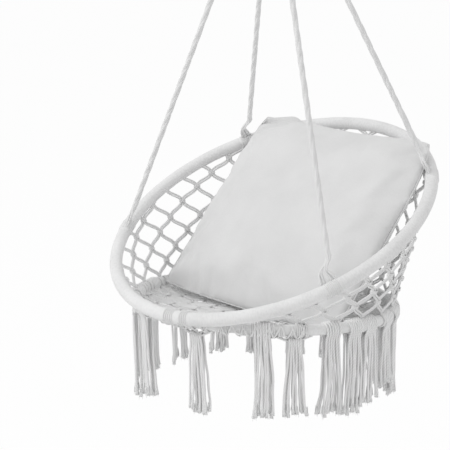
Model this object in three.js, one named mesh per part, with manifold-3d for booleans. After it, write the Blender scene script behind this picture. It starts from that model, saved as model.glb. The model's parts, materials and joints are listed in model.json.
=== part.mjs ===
// Hammock chair on its ceiling fitting, hanging at rest. Millimetres, +Z up, front towards -Y.
// The origin is the middle of the ceiling plate's back face.

import * as THREE from "three";
import { mergeVertices } from "three/addons/utils/BufferGeometryUtils.js";
import Module from "manifold-3d";

const wasm = await Module();
wasm.setup();

// Fits and drawing aids
const gap = 0.35; // between pieces that touch
const overrun = 2; // how far a cutter runs past what it cuts
const halfShare = 0.5;
const weldGap = 1e-3; // corners closer than this are one

// Ceiling plate, its eye and screws
const plate = { radius: 39.5, thick: 3, holeCircle: 30, holeRadius: 3.25, holeCount: 4, sides: 24 };
const eye = { wire: 4, reach: 19, halfSpan: 15, sink: 1.5, sides: 8, steps: 10 };
const screw = { shank: 2.7, length: 65, head: 6, headTall: 3.6, rim: 1.2, tip: 9, tipRadius: 0.5, sides: 8 };

// Rings, chain and carabiner
const ring = { radius: 20.5, wire: 3, sides: 6, steps: 22 };
const link = { wire: 1.5, insideLength: 19, insideWidth: 7, count: 6, sides: 6, bends: 6 };
const snap = {
  wire: 3,
  wide: 13,
  narrow: 8.5,
  length: 64,
  sides: 8,
  bends: 8,
  gateWire: 3.4,
  nose: 4.5,
  heelStep: 5,
  gateFoot: 2.4,
  tongueThick: 2,
  tongueLength: 6,
  slotThick: 2.8,
  slotDepth: 8.5,
  rivet: 1.25,
  boreRadius: 2.1,
  boreDepth: 15,
};
const spring = { radius: 1.3, wire: 0.28, turns: 8, pitch: 1.35, steps: 6, sides: 4 };

// Ropes
const ropeRadius = 6.5;
const ropeSides = 8;
const legRadius = 4.6;
const forkHeight = 62; // above the hoop's middle line, measured along the rope
const legSpread = 12; // each leg from the rope's own line, along the hoop
const legEntry = 27; // where the legs turn in, above the hoop's middle line
const crown = { loop: 5, loopSlack: 1.3, neck: 8, wide: 24, tall: 52, sides: 10, loopSteps: 16 };

// Frame: upper hoop and seat ring
// tilt turns a ring about the chair's X axis and roll about its Y axis. The seat ring hangs askew,
// with its front drawn up to the hoop.
const hoop = { radius: 385, tube: 11, wall: 1.5, cover: 15.3, tilt: 25.5, roll: 0, back: 23, up: 203.5 };
const seat = { radius: 305, tube: 9.5, wall: 1.2, cover: 12.7, tilt: -5.8, roll: -2.8, back: 6, up: -8 };
const frameSteps = 30;
const frameSides = 8;
const tubeSides = 6;
const seamAngle = 270; // where each tube and cover closes, at the back
const seamOpening = 0.6;
const frontRopeAngle = 26.6; // of the front ropes, from the side towards the front
const backRopeAngle = 38.3;
const ropeRise = 1067; // from the chair's origin up to the rope ring's lower wire
const hangBack = 20; // the rope ring lies this far behind the chair's origin
const tip = -1.68; // the cushion's weight tips the whole chair back by this many degrees

// Lashings of the ropes round the hoop
const lashing = { wire: 2.3, turns: 6, pitch: 5.3, steps: 8, sides: 4 };

// Nets
const net = {
  columns: 24,
  rowRise: 36.5,
  cordHalfWide: 3.8,
  halfThick: 2.2,
  hemSteps: 40,
  hemHalf: 3.2,
  hemSway: 0.4, // the hem's edge is this wavy
};
const floor = { cellLong: 112, cellWide: 56, halfBand: 6, halfThick: 2.6, sag: 32, fullness: 2.5 };

// Tassels: places round the seat ring in degrees, the front being 90, and how far the tips hang
const tasselAngles = [
  139, 128, 102, 73, 45, 32, 16, 5, 356, 342, 331, 158, 178, 201, 219, 239, 257, 276, 292, 307,
];
const tasselLengthShares = [
  0.88, 1, 0.85, 0.865, 0.845, 0.815, 0.81, 0.835, 0.76, 0.65,
  0.765, 0.915, 0.905, 0.85, 0.88, 0.87, 0.885, 0.91, 0.955, 0.935,
];
const tassel = { longest: 240, knot: 13, neck: 10, foot: 20, knotTall: 24, flute: 1.8, flutes: 5 };

// Cushion, cut to fill the bowl below the hoop
const cushion = {
  pastRadiusWide: 99.5, // half its width, past half the hoop's radius
  pastRadiusTall: 87.5,
  crown: 73,
  lean: 47.7,
  forward: 65.75, // its middle, from halfway between the hoop's middle and the hoop's rear
  down: 115,
  draw: 0.076, // how far the middle of each edge is drawn in
  topCorner: 0.17, // how far the corners are rounded off
  lowCorner: 0.1,
  wrap: 29, // how far the sides come forward of the middle
  skin: 2.4,
  pad: 4.2, // wall of the insert
  steps: 14,
  innerSteps: 8,
  zipHalfLong: 190,
  zipHalfWide: 1.2,
  zipDepth: 16,
  zipSteps: 8,
};

const cotton = new THREE.MeshStandardMaterial({ color: 0xe4e4e2, roughness: 0.95, metalness: 0 });
const cordCotton = new THREE.MeshStandardMaterial({ color: 0xe8e8e6, roughness: 0.95, metalness: 0 });
const pillowCloth = new THREE.MeshStandardMaterial({ color: 0xdedede, roughness: 0.9, metalness: 0 });
const wadding = new THREE.MeshStandardMaterial({ color: 0xf2f2f0, roughness: 1, metalness: 0 });
const tubeSteel = new THREE.MeshStandardMaterial({ color: 0x8c8f92, roughness: 0.5, metalness: 1 });
const polished = new THREE.MeshStandardMaterial({ color: 0xc9c7c2, roughness: 0.2, metalness: 1 });
const zinc = new THREE.MeshStandardMaterial({ color: 0xb4b6b8, roughness: 0.4, metalness: 1 });

const vec = (x, y, z) => new THREE.Vector3(x, y, z);
const radians = (degrees) => THREE.MathUtils.degToRad(degrees);
const turn = 2 * Math.PI;
const circle = THREE.MathUtils.radToDeg(turn); // degrees all round

// A closed mesh becomes a solid that can be cut and joined, and back.
function solidOf(geometry) {
  const bare = geometry.clone();
  for (const name of Object.keys(bare.attributes)) {
    if (name !== "position") bare.deleteAttribute(name);
  }
  const merged = mergeVertices(bare, 1e-4);
  const mesh = new wasm.Mesh({
    numProp: 3,
    vertProperties: new Float32Array(merged.attributes.position.array),
    triVerts: new Uint32Array(merged.index.array),
  });
  return new wasm.Manifold(mesh);
}

function geometryOf(solid) {
  const mesh = solid.getMesh();
  const geometry = new THREE.BufferGeometry();
  geometry.setAttribute("position", new THREE.BufferAttribute(mesh.vertProperties, 3));
  geometry.setIndex(new THREE.BufferAttribute(mesh.triVerts, 1));
  geometry.computeVertexNormals();
  return geometry;
}

// Skin over rings of points: neighbours are joined, and the ends are capped or joined to each other.
function skin(rings, closed) {
  const sides = rings[0].length;
  const points = rings.flat();
  const faces = [];
  const spans = closed ? rings.length : rings.length - 1;
  for (let i = 0; i < spans; i += 1) {
    const next = (i + 1) % rings.length;
    for (let j = 0; j < sides; j += 1) {
      const k = (j + 1) % sides;
      faces.push(i * sides + j, i * sides + k, next * sides + k);
      faces.push(i * sides + j, next * sides + k, next * sides + j);
    }
  }
  if (!closed) {
    const last = (rings.length - 1) * sides;
    for (let j = 1; j < sides - 1; j += 1) {
      faces.push(0, j + 1, j);
      faces.push(last, last + j, last + j + 1);
    }
  }
  const geometry = new THREE.BufferGeometry();
  geometry.setAttribute("position", new THREE.Float32BufferAttribute(points.flatMap((p) => p.toArray()), 3));
  geometry.setIndex(faces);
  geometry.computeVertexNormals();
  return geometry;
}

// Tube along points. up fixes the section's own direction, once or point by point.
function tube(points, section, closed, up) {
  const count = points.length;
  let side = null;
  const rings = points.map((point, i) => {
    const before = closed ? points[(i + count - 1) % count] : points[Math.max(i - 1, 0)];
    const after = closed ? points[(i + 1) % count] : points[Math.min(i + 1, count - 1)];
    const along = after.clone().sub(before).normalize();
    const given = Array.isArray(up) ? up[i] : up;
    const lift = given || side || steadyUp(along);
    const x = lift.clone().addScaledVector(along, -lift.dot(along)).normalize();
    side = x;
    const y = along.clone().cross(x);
    return section.map(([a, b]) => point.clone().addScaledVector(x, a).addScaledVector(y, b));
  });
  return skin(rings, closed);
}

function steadyUp(along) {
  return Math.abs(along.z) < Math.SQRT1_2 ? vec(0, 0, 1) : vec(1, 0, 0);
}

function round(radius, sides) {
  return Array.from({ length: sides }, (_, i) => {
    const angle = (turn * (i + halfShare)) / sides;
    return [radius * Math.cos(angle), radius * Math.sin(angle)];
  });
}

function rectangle(halfA, halfB) {
  return [[-halfA, -halfB], [halfA, -halfB], [halfA, halfB], [-halfA, halfB]];
}

const lathe = (outline, sides) =>
  new THREE.LatheGeometry(outline.map(([r, z]) => new THREE.Vector2(r, z)), sides).rotateX(Math.PI / 2);

const cylinder = (radius, length, sides) =>
  new THREE.CylinderGeometry(radius, radius, length, sides).rotateX(Math.PI / 2);

const torus = (radius, wire, sides, steps) => new THREE.TorusGeometry(radius, wire, sides, steps);

const unite = (solids) => solids.reduce((whole, solid) => whole.add(solid));

function named(name, geometry, material) {
  const mesh = new THREE.Mesh(geometry, material);
  mesh.name = name;
  return mesh;
}

// Least clear distance from a wound tube to itself, measured on its middle line.
function leastGap(points, radius) {
  let least = Infinity;
  const walked = [0];
  for (let i = 1; i < points.length; i += 1) walked.push(walked[i - 1] + points[i].distanceTo(points[i - 1]));
  for (let i = 0; i < points.length; i += 1) {
    for (let j = i + 1; j < points.length; j += 1) {
      if (walked[j] - walked[i] < turn * radius) continue;
      least = Math.min(least, points[i].distanceTo(points[j]) - 2 * radius);
    }
  }
  return least;
}

const group = new THREE.Group();

// Ceiling plate with four holes and an eye welded to its lower face
function eyePath(extra) {
  const legTop = -plate.thick + extra;
  const bend = eye.halfSpan;
  const apex = -plate.thick - eye.reach;
  const points = [vec(-bend, 0, legTop)];
  for (let i = 0; i <= eye.steps; i += 1) {
    const angle = Math.PI + (Math.PI * i) / eye.steps;
    points.push(vec(bend * Math.cos(angle), 0, apex + bend + bend * Math.sin(angle)));
  }
  points.push(vec(bend, 0, legTop));
  return points;
}

function ceilingPlate() {
  const disc = cylinder(plate.radius, plate.thick, plate.sides).translate(0, 0, -plate.thick * halfShare);
  const bar = tube(eyePath(eye.sink), round(eye.wire, eye.sides), false, vec(0, 1, 0));
  let solid = solidOf(disc).add(solidOf(bar));
  for (const place of holePlaces()) {
    const hole = cylinder(plate.holeRadius, plate.thick + 2 * overrun, screw.sides);
    solid = solid.subtract(solidOf(hole.translate(place.x, place.y, -plate.thick * halfShare)));
  }
  return geometryOf(solid);
}

function holePlaces() {
  return Array.from({ length: plate.holeCount }, (_, i) => {
    const angle = (turn * (i + halfShare)) / plate.holeCount;
    return vec(plate.holeCircle * Math.cos(angle), plate.holeCircle * Math.sin(angle), 0);
  });
}

function screwSolid() {
  const under = -plate.thick - gap;
  const top = under - screw.headTall + screw.length;
  return lathe([
    [0, under - screw.headTall],
    [screw.head - screw.rim, under - screw.headTall],
    [screw.head, under - screw.rim],
    [screw.head, under],
    [screw.shank, under],
    [screw.shank, top - screw.tip],
    [screw.tipRadius, top],
    [0, top],
  ], screw.sides);
}

group.add(named("ceiling_plate", ceilingPlate(), polished));
holePlaces().forEach((place, i) => {
  const mesh = named(`ceiling_screw_${i + 1}`, screwSolid(), zinc);
  mesh.position.copy(place);
  group.add(mesh);
});

// Round ring in the eye, in the YZ plane
const eyeBar = -plate.thick - eye.reach;
const ringTopWire = eyeBar + eye.wire + gap + ring.wire;
const ringMiddle = ringTopWire - ring.radius;
const ringLowWire = ringMiddle - ring.radius;

function ringMesh(name, z) {
  const geometry = torus(ring.radius, ring.wire, ring.sides, ring.steps).rotateY(Math.PI / 2);
  const mesh = named(name, geometry, polished);
  mesh.position.set(0, 0, z);
  return mesh;
}

group.add(ringMesh("hanging_ring", ringMiddle));

// Chain, every other link turned a quarter
const linkBend = link.insideWidth * halfShare + link.wire;
const linkStraight = link.insideLength - link.insideWidth;
const linkDrop = link.insideLength - gap;
const firstLinkTop = ringLowWire + ring.wire + gap;

function linkSolid() {
  const points = [];
  for (const [way, start] of [[1, 0], [-1, Math.PI]]) {
    for (let i = 0; i <= link.bends; i += 1) {
      const angle = start + (Math.PI * i) / link.bends;
      const middle = way * linkStraight * halfShare;
      points.push(vec(linkBend * Math.cos(angle), 0, middle + linkBend * Math.sin(angle)));
    }
  }
  return tube(points, round(link.wire, link.sides), true, vec(0, 1, 0));
}

for (let i = 0; i < link.count; i += 1) {
  const mesh = named(`chain_link_${i + 1}`, linkSolid(), zinc);
  mesh.position.set(0, 0, firstLinkTop - i * linkDrop - link.insideLength * halfShare);
  mesh.rotation.z = (i % 2) * turn * halfShare * halfShare;
  group.add(mesh);
}
const lastLinkFloor = firstLinkTop - (link.count - 1) * linkDrop - link.insideLength;

// Snap carabiner: a pear of round wire in the XZ plane, its gate on the +X side
const snapTop = lastLinkFloor + gap + snap.wire;
const snapLow = snapTop - snap.length;
const wideMiddle = snapTop - snap.wide;
const narrowMiddle = snapLow + snap.narrow;
const snapSlope = Math.asin((snap.wide - snap.narrow) / (wideMiddle - narrowMiddle));

function snapPoint(radius, middle, angle) {
  return vec(radius * Math.cos(angle), 0, middle + radius * Math.sin(angle));
}

const sideUpper = snapPoint(snap.wide, wideMiddle, -snapSlope);
const sideLower = snapPoint(snap.narrow, narrowMiddle, -snapSlope);
const sideUp = sideUpper.clone().sub(sideLower).normalize();
const gateTop = sideUpper.clone().addScaledVector(sideUp, -snap.nose);
const rivetPoint = sideLower.clone().addScaledVector(sideUp, snap.heelStep);
const gateLean = Math.atan2(sideUp.x, sideUp.z);

function snapBody() {
  const points = [gateTop.clone().addScaledVector(sideUp, gap)];
  for (let i = 0; i <= snap.bends; i += 1) {
    const angle = -snapSlope + ((Math.PI + 2 * snapSlope) * i) / snap.bends;
    points.push(snapPoint(snap.wide, wideMiddle, angle));
  }
  for (let i = 0; i <= snap.bends; i += 1) {
    const angle = Math.PI + snapSlope + ((Math.PI - 2 * snapSlope) * i) / snap.bends;
    points.push(snapPoint(snap.narrow, narrowMiddle, angle));
  }
  points.push(sideLower.clone().addScaledVector(sideUp, snap.heelStep + snap.tongueLength));
  const wire = solidOf(tube(points, round(snap.wire, snap.sides), false, vec(0, 1, 0)));
  const cheek = snap.wire + overrun;
  const heel = sideLower.clone().addScaledVector(sideUp, -gap);
  let body = wire;
  for (const way of [-1, 1]) {
    const length = snap.heelStep + snap.tongueLength + overrun;
    const slab = new THREE.BoxGeometry(4 * cheek, cheek, length);
    slab.translate(0, way * (snap.tongueThick + cheek) * halfShare, length * halfShare);
    slab.rotateY(gateLean).translate(heel.x, heel.y, heel.z);
    body = body.subtract(solidOf(slab));
  }
  return geometryOf(body.subtract(rivetHole(gap)));
}

function rivetHole(slack) {
  const hole = new THREE.CylinderGeometry(snap.rivet + slack, snap.rivet + slack, 4 * snap.wire, snap.sides);
  return solidOf(hole.translate(rivetPoint.x, rivetPoint.y, rivetPoint.z));
}

function alongGate(geometry, distance) {
  const place = sideLower.clone().addScaledVector(sideUp, distance);
  return geometry.rotateY(gateLean).translate(place.x, place.y, place.z);
}

function snapGate() {
  const length = gateTop.distanceTo(sideLower) - snap.gateFoot;
  const rod = cylinder(snap.gateWire, length, snap.sides);
  const rodSolid = solidOf(alongGate(rod, snap.gateFoot + length * halfShare));
  const depth = snap.slotDepth + snap.heelStep;
  const slotSize = [4 * snap.gateWire, snap.slotThick, depth + overrun];
  const slot = solidOf(alongGate(new THREE.BoxGeometry(...slotSize), (depth - overrun) * halfShare));
  const bore = cylinder(snap.boreRadius, snap.boreDepth + overrun, snap.sides);
  const boreSolid = solidOf(alongGate(bore, depth + (snap.boreDepth - overrun) * halfShare));
  return geometryOf(rodSolid.subtract(slot).subtract(boreSolid).subtract(rivetHole(gap)));
}

function springPath() {
  const points = [];
  const start = snap.slotDepth + snap.heelStep + 2 * spring.wire;
  for (let i = 0; i <= spring.turns * spring.steps; i += 1) {
    const angle = (turn * i) / spring.steps;
    const [x, y] = [spring.radius * Math.cos(angle), spring.radius * Math.sin(angle)];
    const local = vec(x, y, (spring.pitch * i) / spring.steps);
    local.applyAxisAngle(vec(0, 1, 0), gateLean);
    points.push(sideLower.clone().addScaledVector(sideUp, start).add(local));
  }
  return points;
}

const springPoints = springPath();
console.log(`gate spring, least gap to itself: ${leastGap(springPoints, spring.wire).toFixed(2)} mm`);
group.add(named("carabiner_body", snapBody(), zinc));
group.add(named("carabiner_gate", snapGate(), zinc));
group.add(named("gate_spring", tube(springPoints, round(spring.wire, spring.sides), false), zinc));
const rivetPin = new THREE.CylinderGeometry(snap.rivet, snap.rivet, 2 * snap.gateWire, snap.sides);
const rivetMesh = named("gate_rivet", rivetPin, zinc);
rivetMesh.position.copy(rivetPoint);
group.add(rivetMesh);

// Rope ring on the carabiner, and the gathered knot of the ropes on the ring
const ropeRingTop = snapLow + snap.wire + gap + ring.wire;
const ropeRingMiddle = ropeRingTop - ring.radius;
const ropeRingLow = ropeRingMiddle - ring.radius;
group.add(ringMesh("rope_ring", ropeRingMiddle));

function ropeCrown() {
  const loopRadius = ring.wire + crown.loopSlack + crown.loop;
  const loop = torus(loopRadius, crown.loop, ropeSides, crown.loopSteps).rotateX(Math.PI / 2);
  const top = -loopRadius;
  const knot = lathe([
    [0, -crown.tall],
    [crown.wide - crown.loop * halfShare, -crown.tall],
    [crown.wide, -crown.tall + crown.loop],
    [(crown.wide + crown.neck) * halfShare, (top - crown.tall) * halfShare],
    [crown.neck, top - crown.loop],
    [crown.neck * halfShare, top],
    [0, top],
  ], crown.sides);
  return geometryOf(solidOf(loop).add(solidOf(knot)));
}

// The chair hangs below. Its own frame has its origin just above the middle of the seat ring.
const hangPoint = vec(0, hangBack, ropeRise);
const chair = new THREE.Group();
chair.rotation.x = radians(tip);
chair.position.copy(hangPoint).applyEuler(chair.rotation).negate().add(vec(0, 0, ropeRingLow));
group.add(chair);

const crownMesh = named("rope_knot", ropeCrown(), cordCotton);
crownMesh.position.copy(hangPoint);
chair.add(crownMesh);

// Turns a direction, or moves a point, from a frame ring's own plane into the chair's frame.
const turned = (frame, flat) =>
  flat.applyAxisAngle(vec(1, 0, 0), radians(frame.tilt)).applyAxisAngle(vec(0, 1, 0), radians(frame.roll));

const placed = (frame, flat) => turned(frame, flat).add(vec(0, frame.back, frame.up));

// A point beside a ring's middle line: out from its centre, and up off its plane.
function flatPoint(frame, degrees, out, off) {
  const angle = radians(degrees);
  const reach = frame.radius + out;
  return vec(reach * Math.cos(angle), -reach * Math.sin(angle), off);
}

const arcPoint = (frame, degrees, out, off) => placed(frame, flatPoint(frame, degrees, out, off));

// The same point on the ring as it is drawn, in straight steps. The seam is in the middle of one.
function framePoint(frame, degrees, out = 0, off = 0) {
  const share = (degrees - seamAngle) / frameStep - halfShare;
  const corner = Math.floor(share);
  const [from, to] = [corner, corner + 1].map((i) => seamAngle + (i + halfShare) * frameStep);
  return arcPoint(frame, from, out, off).lerp(arcPoint(frame, to, out, off), share - corner);
}

const frameStep = circle / frameSteps;
const frameCorners = Array.from({ length: frameSteps }, (_, i) => seamAngle + (i + halfShare) * frameStep);

function framePath(frame, from, to, steps) {
  return Array.from({ length: steps + 1 }, (_, i) => framePoint(frame, from + ((to - from) * i) / steps));
}

const planeNormal = (frame) => turned(frame, vec(0, 0, 1));

function fullRing(frame, radius, sides) {
  const path = frameCorners.map((degrees) => framePoint(frame, degrees));
  return solidOf(tube(path, round(radius, sides), true, planeNormal(frame)));
}

// Keeps neighbours off a cover
const keepOff = (frame, slack) => fullRing(frame, frame.cover + slack, frameSides);

// A bent tube whose ends meet at the back with a seam
function bentTube(frame, outside, sides, inside) {
  const seam = THREE.MathUtils.radToDeg(seamOpening / frame.radius) * halfShare;
  const up = planeNormal(frame);
  const places = [seamAngle + seam, ...frameCorners, seamAngle + circle - seam];
  const path = places.map((degrees) => framePoint(frame, degrees));
  const body = solidOf(tube(path, round(outside, sides), false, up));
  return geometryOf(body.subtract(fullRing(frame, inside, tubeSides)));
}

function frameMeshes(frame, name) {
  const steel = bentTube(frame, frame.tube, tubeSides, frame.tube - frame.wall);
  chair.add(named(`${name}_tube`, steel, tubeSteel));
  chair.add(named(`${name}_cover`, bentTube(frame, frame.cover, frameSides, frame.tube + gap), cotton));
}

frameMeshes(hoop, "upper_hoop");
frameMeshes(seat, "seat_ring");

// Four rope places on the hoop
const ropePlaces = [
  { name: "front_right", degrees: frontRopeAngle },
  { name: "front_left", degrees: circle * halfShare - frontRopeAngle },
  { name: "back_left", degrees: circle * halfShare + backRopeAngle },
  { name: "back_right", degrees: circle - backRopeAngle },
];
const lashOut = hoop.cover + gap + lashing.wire;
const lashHalf = (lashing.turns * lashing.pitch) * halfShare;
const lashShare = 1 / Math.cos(Math.PI / lashing.steps);

function lashingPath(degrees) {
  const steps = lashing.turns * lashing.steps;
  const spread = THREE.MathUtils.radToDeg(lashHalf / hoop.radius);
  return Array.from({ length: steps + 1 }, (_, i) => {
    const angle = (turn * i) / lashing.steps;
    const place = degrees - spread + (2 * spread * i) / steps;
    const reach = lashOut * lashShare;
    return framePoint(hoop, place, reach * Math.cos(angle), reach * Math.sin(angle));
  });
}

// The room that a lashing takes round the hoop
function lashingRoom(degrees, slack) {
  const spread = THREE.MathUtils.radToDeg((lashHalf + lashing.wire + slack) / hoop.radius);
  const reach = (lashOut * lashShare + lashing.wire + slack) * lashShare;
  const path = framePath(hoop, degrees - spread, degrees + spread, lashing.turns);
  return solidOf(tube(path, round(reach, lashing.steps), false, planeNormal(hoop)));
}

function ropeSolid(degrees) {
  const foot = framePoint(hoop, degrees);
  const line = hangPoint.clone().sub(foot).normalize();
  const fork = foot.clone().addScaledVector(line, forkHeight);
  const top = hangPoint.clone().addScaledVector(line, -(crown.tall + gap) / line.z - ropeRadius * halfShare);
  const parts = [solidOf(tube([fork, top], round(ropeRadius, ropeSides), false))];
  const tangent = framePoint(hoop, degrees + 1).sub(framePoint(hoop, degrees - 1)).normalize();
  const inward = line.clone().addScaledVector(tangent, -line.dot(tangent)).normalize();
  for (const way of [-1, 1]) {
    const low = foot.clone().addScaledVector(tangent, way * legSpread);
    const entry = low.clone().addScaledVector(inward, legEntry);
    const start = fork.clone().addScaledVector(line, legRadius);
    parts.push(solidOf(tube([start, entry, low], round(legRadius, ropeSides), false)));
  }
  return geometryOf(unite(parts).subtract(lashingRoom(degrees, gap)));
}

for (const place of ropePlaces) {
  const path = lashingPath(place.degrees);
  console.log(`lashing ${place.name}, least gap to itself: ${leastGap(path, lashing.wire).toFixed(2)} mm`);
  chair.add(named(`rope_${place.name}`, ropeSolid(place.degrees), cordCotton));
  const coil = tube(path, round(lashing.wire, lashing.sides), false);
  chair.add(named(`lashing_${place.name}`, coil, cordCotton));
}

// Both nets are drawn flat, as a sheet with diamond holes, and then bent into place.
function prism(outlines, thick, below) {
  const shapes = outlines.map((points) => new THREE.Shape(points.map(([x, y]) => new THREE.Vector2(x, y))));
  const depth = thick + 2 * below;
  return new THREE.ExtrudeGeometry(shapes, { depth, bevelEnabled: false }).translate(0, 0, -below);
}

// Holes between two sets of crossing bands. Bands cross where column and row are both even or both odd.
function diamonds(wide, tall, bandHalf, columns, rows) {
  const share = 1 - (bandHalf * Math.hypot(wide, tall)) / (wide * tall);
  const holes = [];
  for (let row = rows[0]; row <= rows[1]; row += 1) {
    for (let column = columns[0]; column <= columns[1]; column += 1) {
      if ((column + row) % 2 === 0) continue;
      const [x, y] = [column * wide, row * tall];
      const [left, right] = [x - wide * share, x + wide * share];
      holes.push([[left, y], [x, y - tall * share], [right, y], [x, y + tall * share]]);
    }
  }
  return holes;
}

// Cuts can leave crumbs behind. This keeps the one piece that hangs together.
function withoutCrumbs(solid) {
  const geometry = geometryOf(solid);
  const index = geometry.index.array;
  const parent = Array.from({ length: geometry.attributes.position.count }, (_, i) => i);
  const rootOf = (i) => {
    let at = i;
    while (parent[at] !== at) at = parent[at];
    parent[i] = at;
    return at;
  };
  for (let i = 0; i < index.length; i += 3) {
    parent[rootOf(index[i + 1])] = rootOf(index[i]);
    parent[rootOf(index[i + 2])] = rootOf(index[i]);
  }
  const pieces = new Map();
  for (let i = 0; i < index.length; i += 3) {
    const root = rootOf(index[i]);
    if (!pieces.has(root)) pieces.set(root, []);
    pieces.get(root).push(index[i], index[i + 1], index[i + 2]);
  }
  const largest = [...pieces.values()].reduce((a, b) => (a.length > b.length ? a : b));
  geometry.setIndex(largest);
  return geometry;
}

// Side net: diamonds on the straight lines from seat ring to hoop, cut off by the hoop.
// Flat, x runs round the chair and y up the lines.
const columnStep = (circle / net.columns) * halfShare;
const hemUp = seat.cover + gap + net.hemHalf;
const flatScale = radians(seat.radius + hoop.radius) * halfShare;
const flatLong = circle * flatScale;

function netLine(degrees) {
  const low = framePoint(seat, degrees, 0, hemUp);
  const high = framePoint(hoop, degrees);
  const along = high.clone().sub(low).normalize();
  const around = arcPoint(seat, degrees + 1, 0, 0).sub(arcPoint(seat, degrees - 1, 0, 0));
  return { low, along, outward: along.clone().cross(around).normalize(), length: low.distanceTo(high) };
}

// From a wavy line at the hem up to the hoop's middle line, or past it
function netField(hem, waveUp, past) {
  const points = [];
  for (let i = 0; i <= net.hemSteps; i += 1) {
    points.push([(flatLong * i) / net.hemSteps, hem + (i % 2) * waveUp]);
  }
  for (let i = net.hemSteps; i >= 0; i -= 1) {
    points.push([(flatLong * i) / net.hemSteps, netLine((circle * i) / net.hemSteps).length + past]);
  }
  return points;
}

function flatNet() {
  const thick = 2 * net.halfThick;
  const tall = Math.max(...frameCorners.map((degrees) => netLine(degrees).length));
  const rows = Math.ceil(tall / net.rowRise);
  const across = columnStep * flatScale;
  const holes = diamonds(across, net.rowRise, net.cordHalfWide, [0, 2 * net.columns], [0, rows]);
  const aboveHem = prism([netField(net.hemHalf, net.hemSway, net.rowRise)], thick, 2 * overrun);
  const sheet = prism([netField(-net.hemHalf, -net.hemSway, 0)], thick, 0);
  return solidOf(sheet).subtract(solidOf(prism(holes, thick, overrun)).intersect(solidOf(aboveHem)));
}

// Bends the flat net round and joins its two ends
function bentNet(flat) {
  const mesh = flat.getMesh();
  const corner = (i) => Array.from(mesh.vertProperties.slice(mesh.numProp * i, mesh.numProp * i + 3));
  const onEnd = (x) => Math.min(Math.abs(x), Math.abs(x - flatLong)) < weldGap;
  const faces = [];
  for (let i = 0; i < mesh.triVerts.length; i += 3) {
    const face = Array.from(mesh.triVerts.slice(i, i + 3));
    if (!face.every((k) => onEnd(corner(k)[0]))) faces.push(...face);
  }
  const places = [];
  for (let i = 0; i < mesh.numVert; i += 1) {
    const [x, y, z] = corner(i);
    const height = onEnd(x) ? Math.round(y / weldGap) * weldGap : y;
    const line = netLine(onEnd(x) ? 0 : x / flatScale);
    const place = line.low.addScaledVector(line.along, height);
    places.push(...place.addScaledVector(line.outward, net.halfThick - z).toArray());
  }
  const geometry = new THREE.BufferGeometry();
  geometry.setAttribute("position", new THREE.Float32BufferAttribute(places, 3));
  geometry.setIndex(faces);
  return solidOf(geometry);
}

function sideNet() {
  let solid = bentNet(flatNet()).subtract(keepOff(hoop, gap));
  for (const place of ropePlaces) solid = solid.subtract(lashingRoom(place.degrees, gap));
  return withoutCrumbs(solid);
}

chair.add(named("side_net", sideNet(), cordCotton));

// Seat net: flat bands in long diamonds inside the seat ring, sagging in the middle
function flatSeat() {
  const halfLong = floor.cellLong * halfShare;
  const halfWide = floor.cellWide * halfShare;
  const rows = Math.ceil(seat.radius / halfWide);
  const columns = Math.ceil(seat.radius / halfLong);
  const holes = diamonds(halfLong, halfWide, floor.halfBand, [-columns, columns], [-rows, rows]);
  const rim = frameCorners.map((degrees) => flatPoint(seat, degrees, 0, 0)).map((p) => [p.x, p.y]);
  const thick = 2 * floor.halfThick;
  return solidOf(prism([rim.reverse()], thick, 0)).subtract(solidOf(prism(holes, thick, overrun)));
}

function seatNet() {
  const geometry = geometryOf(flatSeat());
  const places = geometry.attributes.position;
  for (let i = 0; i < places.count; i += 1) {
    const flat = vec(places.getX(i), places.getY(i), places.getZ(i) - floor.halfThick);
    const share = Math.min((flat.x ** 2 + flat.y ** 2) / seat.radius ** 2, 1);
    flat.z -= floor.sag * (1 - share ** floor.fullness);
    places.setXYZ(i, ...placed(seat, flat).toArray());
  }
  return withoutCrumbs(solidOf(geometry).subtract(keepOff(seat, gap)));
}

chair.add(named("seat_net", seatNet(), cordCotton));

// Tassel: a knot under the seat ring and a fluted skirt of cords
function tasselSolid(length) {
  const top = -seat.cover - gap;
  const rows = [
    [tassel.neck * halfShare, top, 0],
    [tassel.knot, top - tassel.knotTall * halfShare, 0],
    [tassel.neck, top - tassel.knotTall, 0],
    [tassel.foot, -length, tassel.flute],
  ];
  const sides = 2 * tassel.flutes;
  const rings = rows.map(([radius, z, flute]) =>
    Array.from({ length: sides }, (_, i) => {
      const angle = (turn * i) / sides;
      const reach = radius + (i % 2 === 0 ? flute : -flute);
      return vec(reach * Math.cos(angle), reach * Math.sin(angle), z);
    }));
  return skin(rings.reverse(), false);
}

tasselAngles.forEach((degrees, i) => {
  const length = tassel.longest * tasselLengthShares[i];
  const mesh = named(`tassel_${i + 1}`, tasselSolid(length), cordCotton);
  mesh.position.copy(framePoint(seat, degrees));
  mesh.rotation.x = -chair.rotation.x;
  chair.add(mesh);
});

// Cushion: a square pillow with a crown, drawn-in sides and its wings brought forward.
// It leans on the hoop's rear and stands on the seat net.
const pillowHalfWide = hoop.radius * halfShare + cushion.pastRadiusWide;
const pillowHalfTall = hoop.radius * halfShare + cushion.pastRadiusTall;
const towardsRear = vec(0, hoop.radius * halfShare, 0).applyAxisAngle(vec(1, 0, 0), radians(hoop.tilt));
const pillowMiddle = towardsRear.add(vec(0, hoop.back - cushion.forward, hoop.up - cushion.down));

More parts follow.
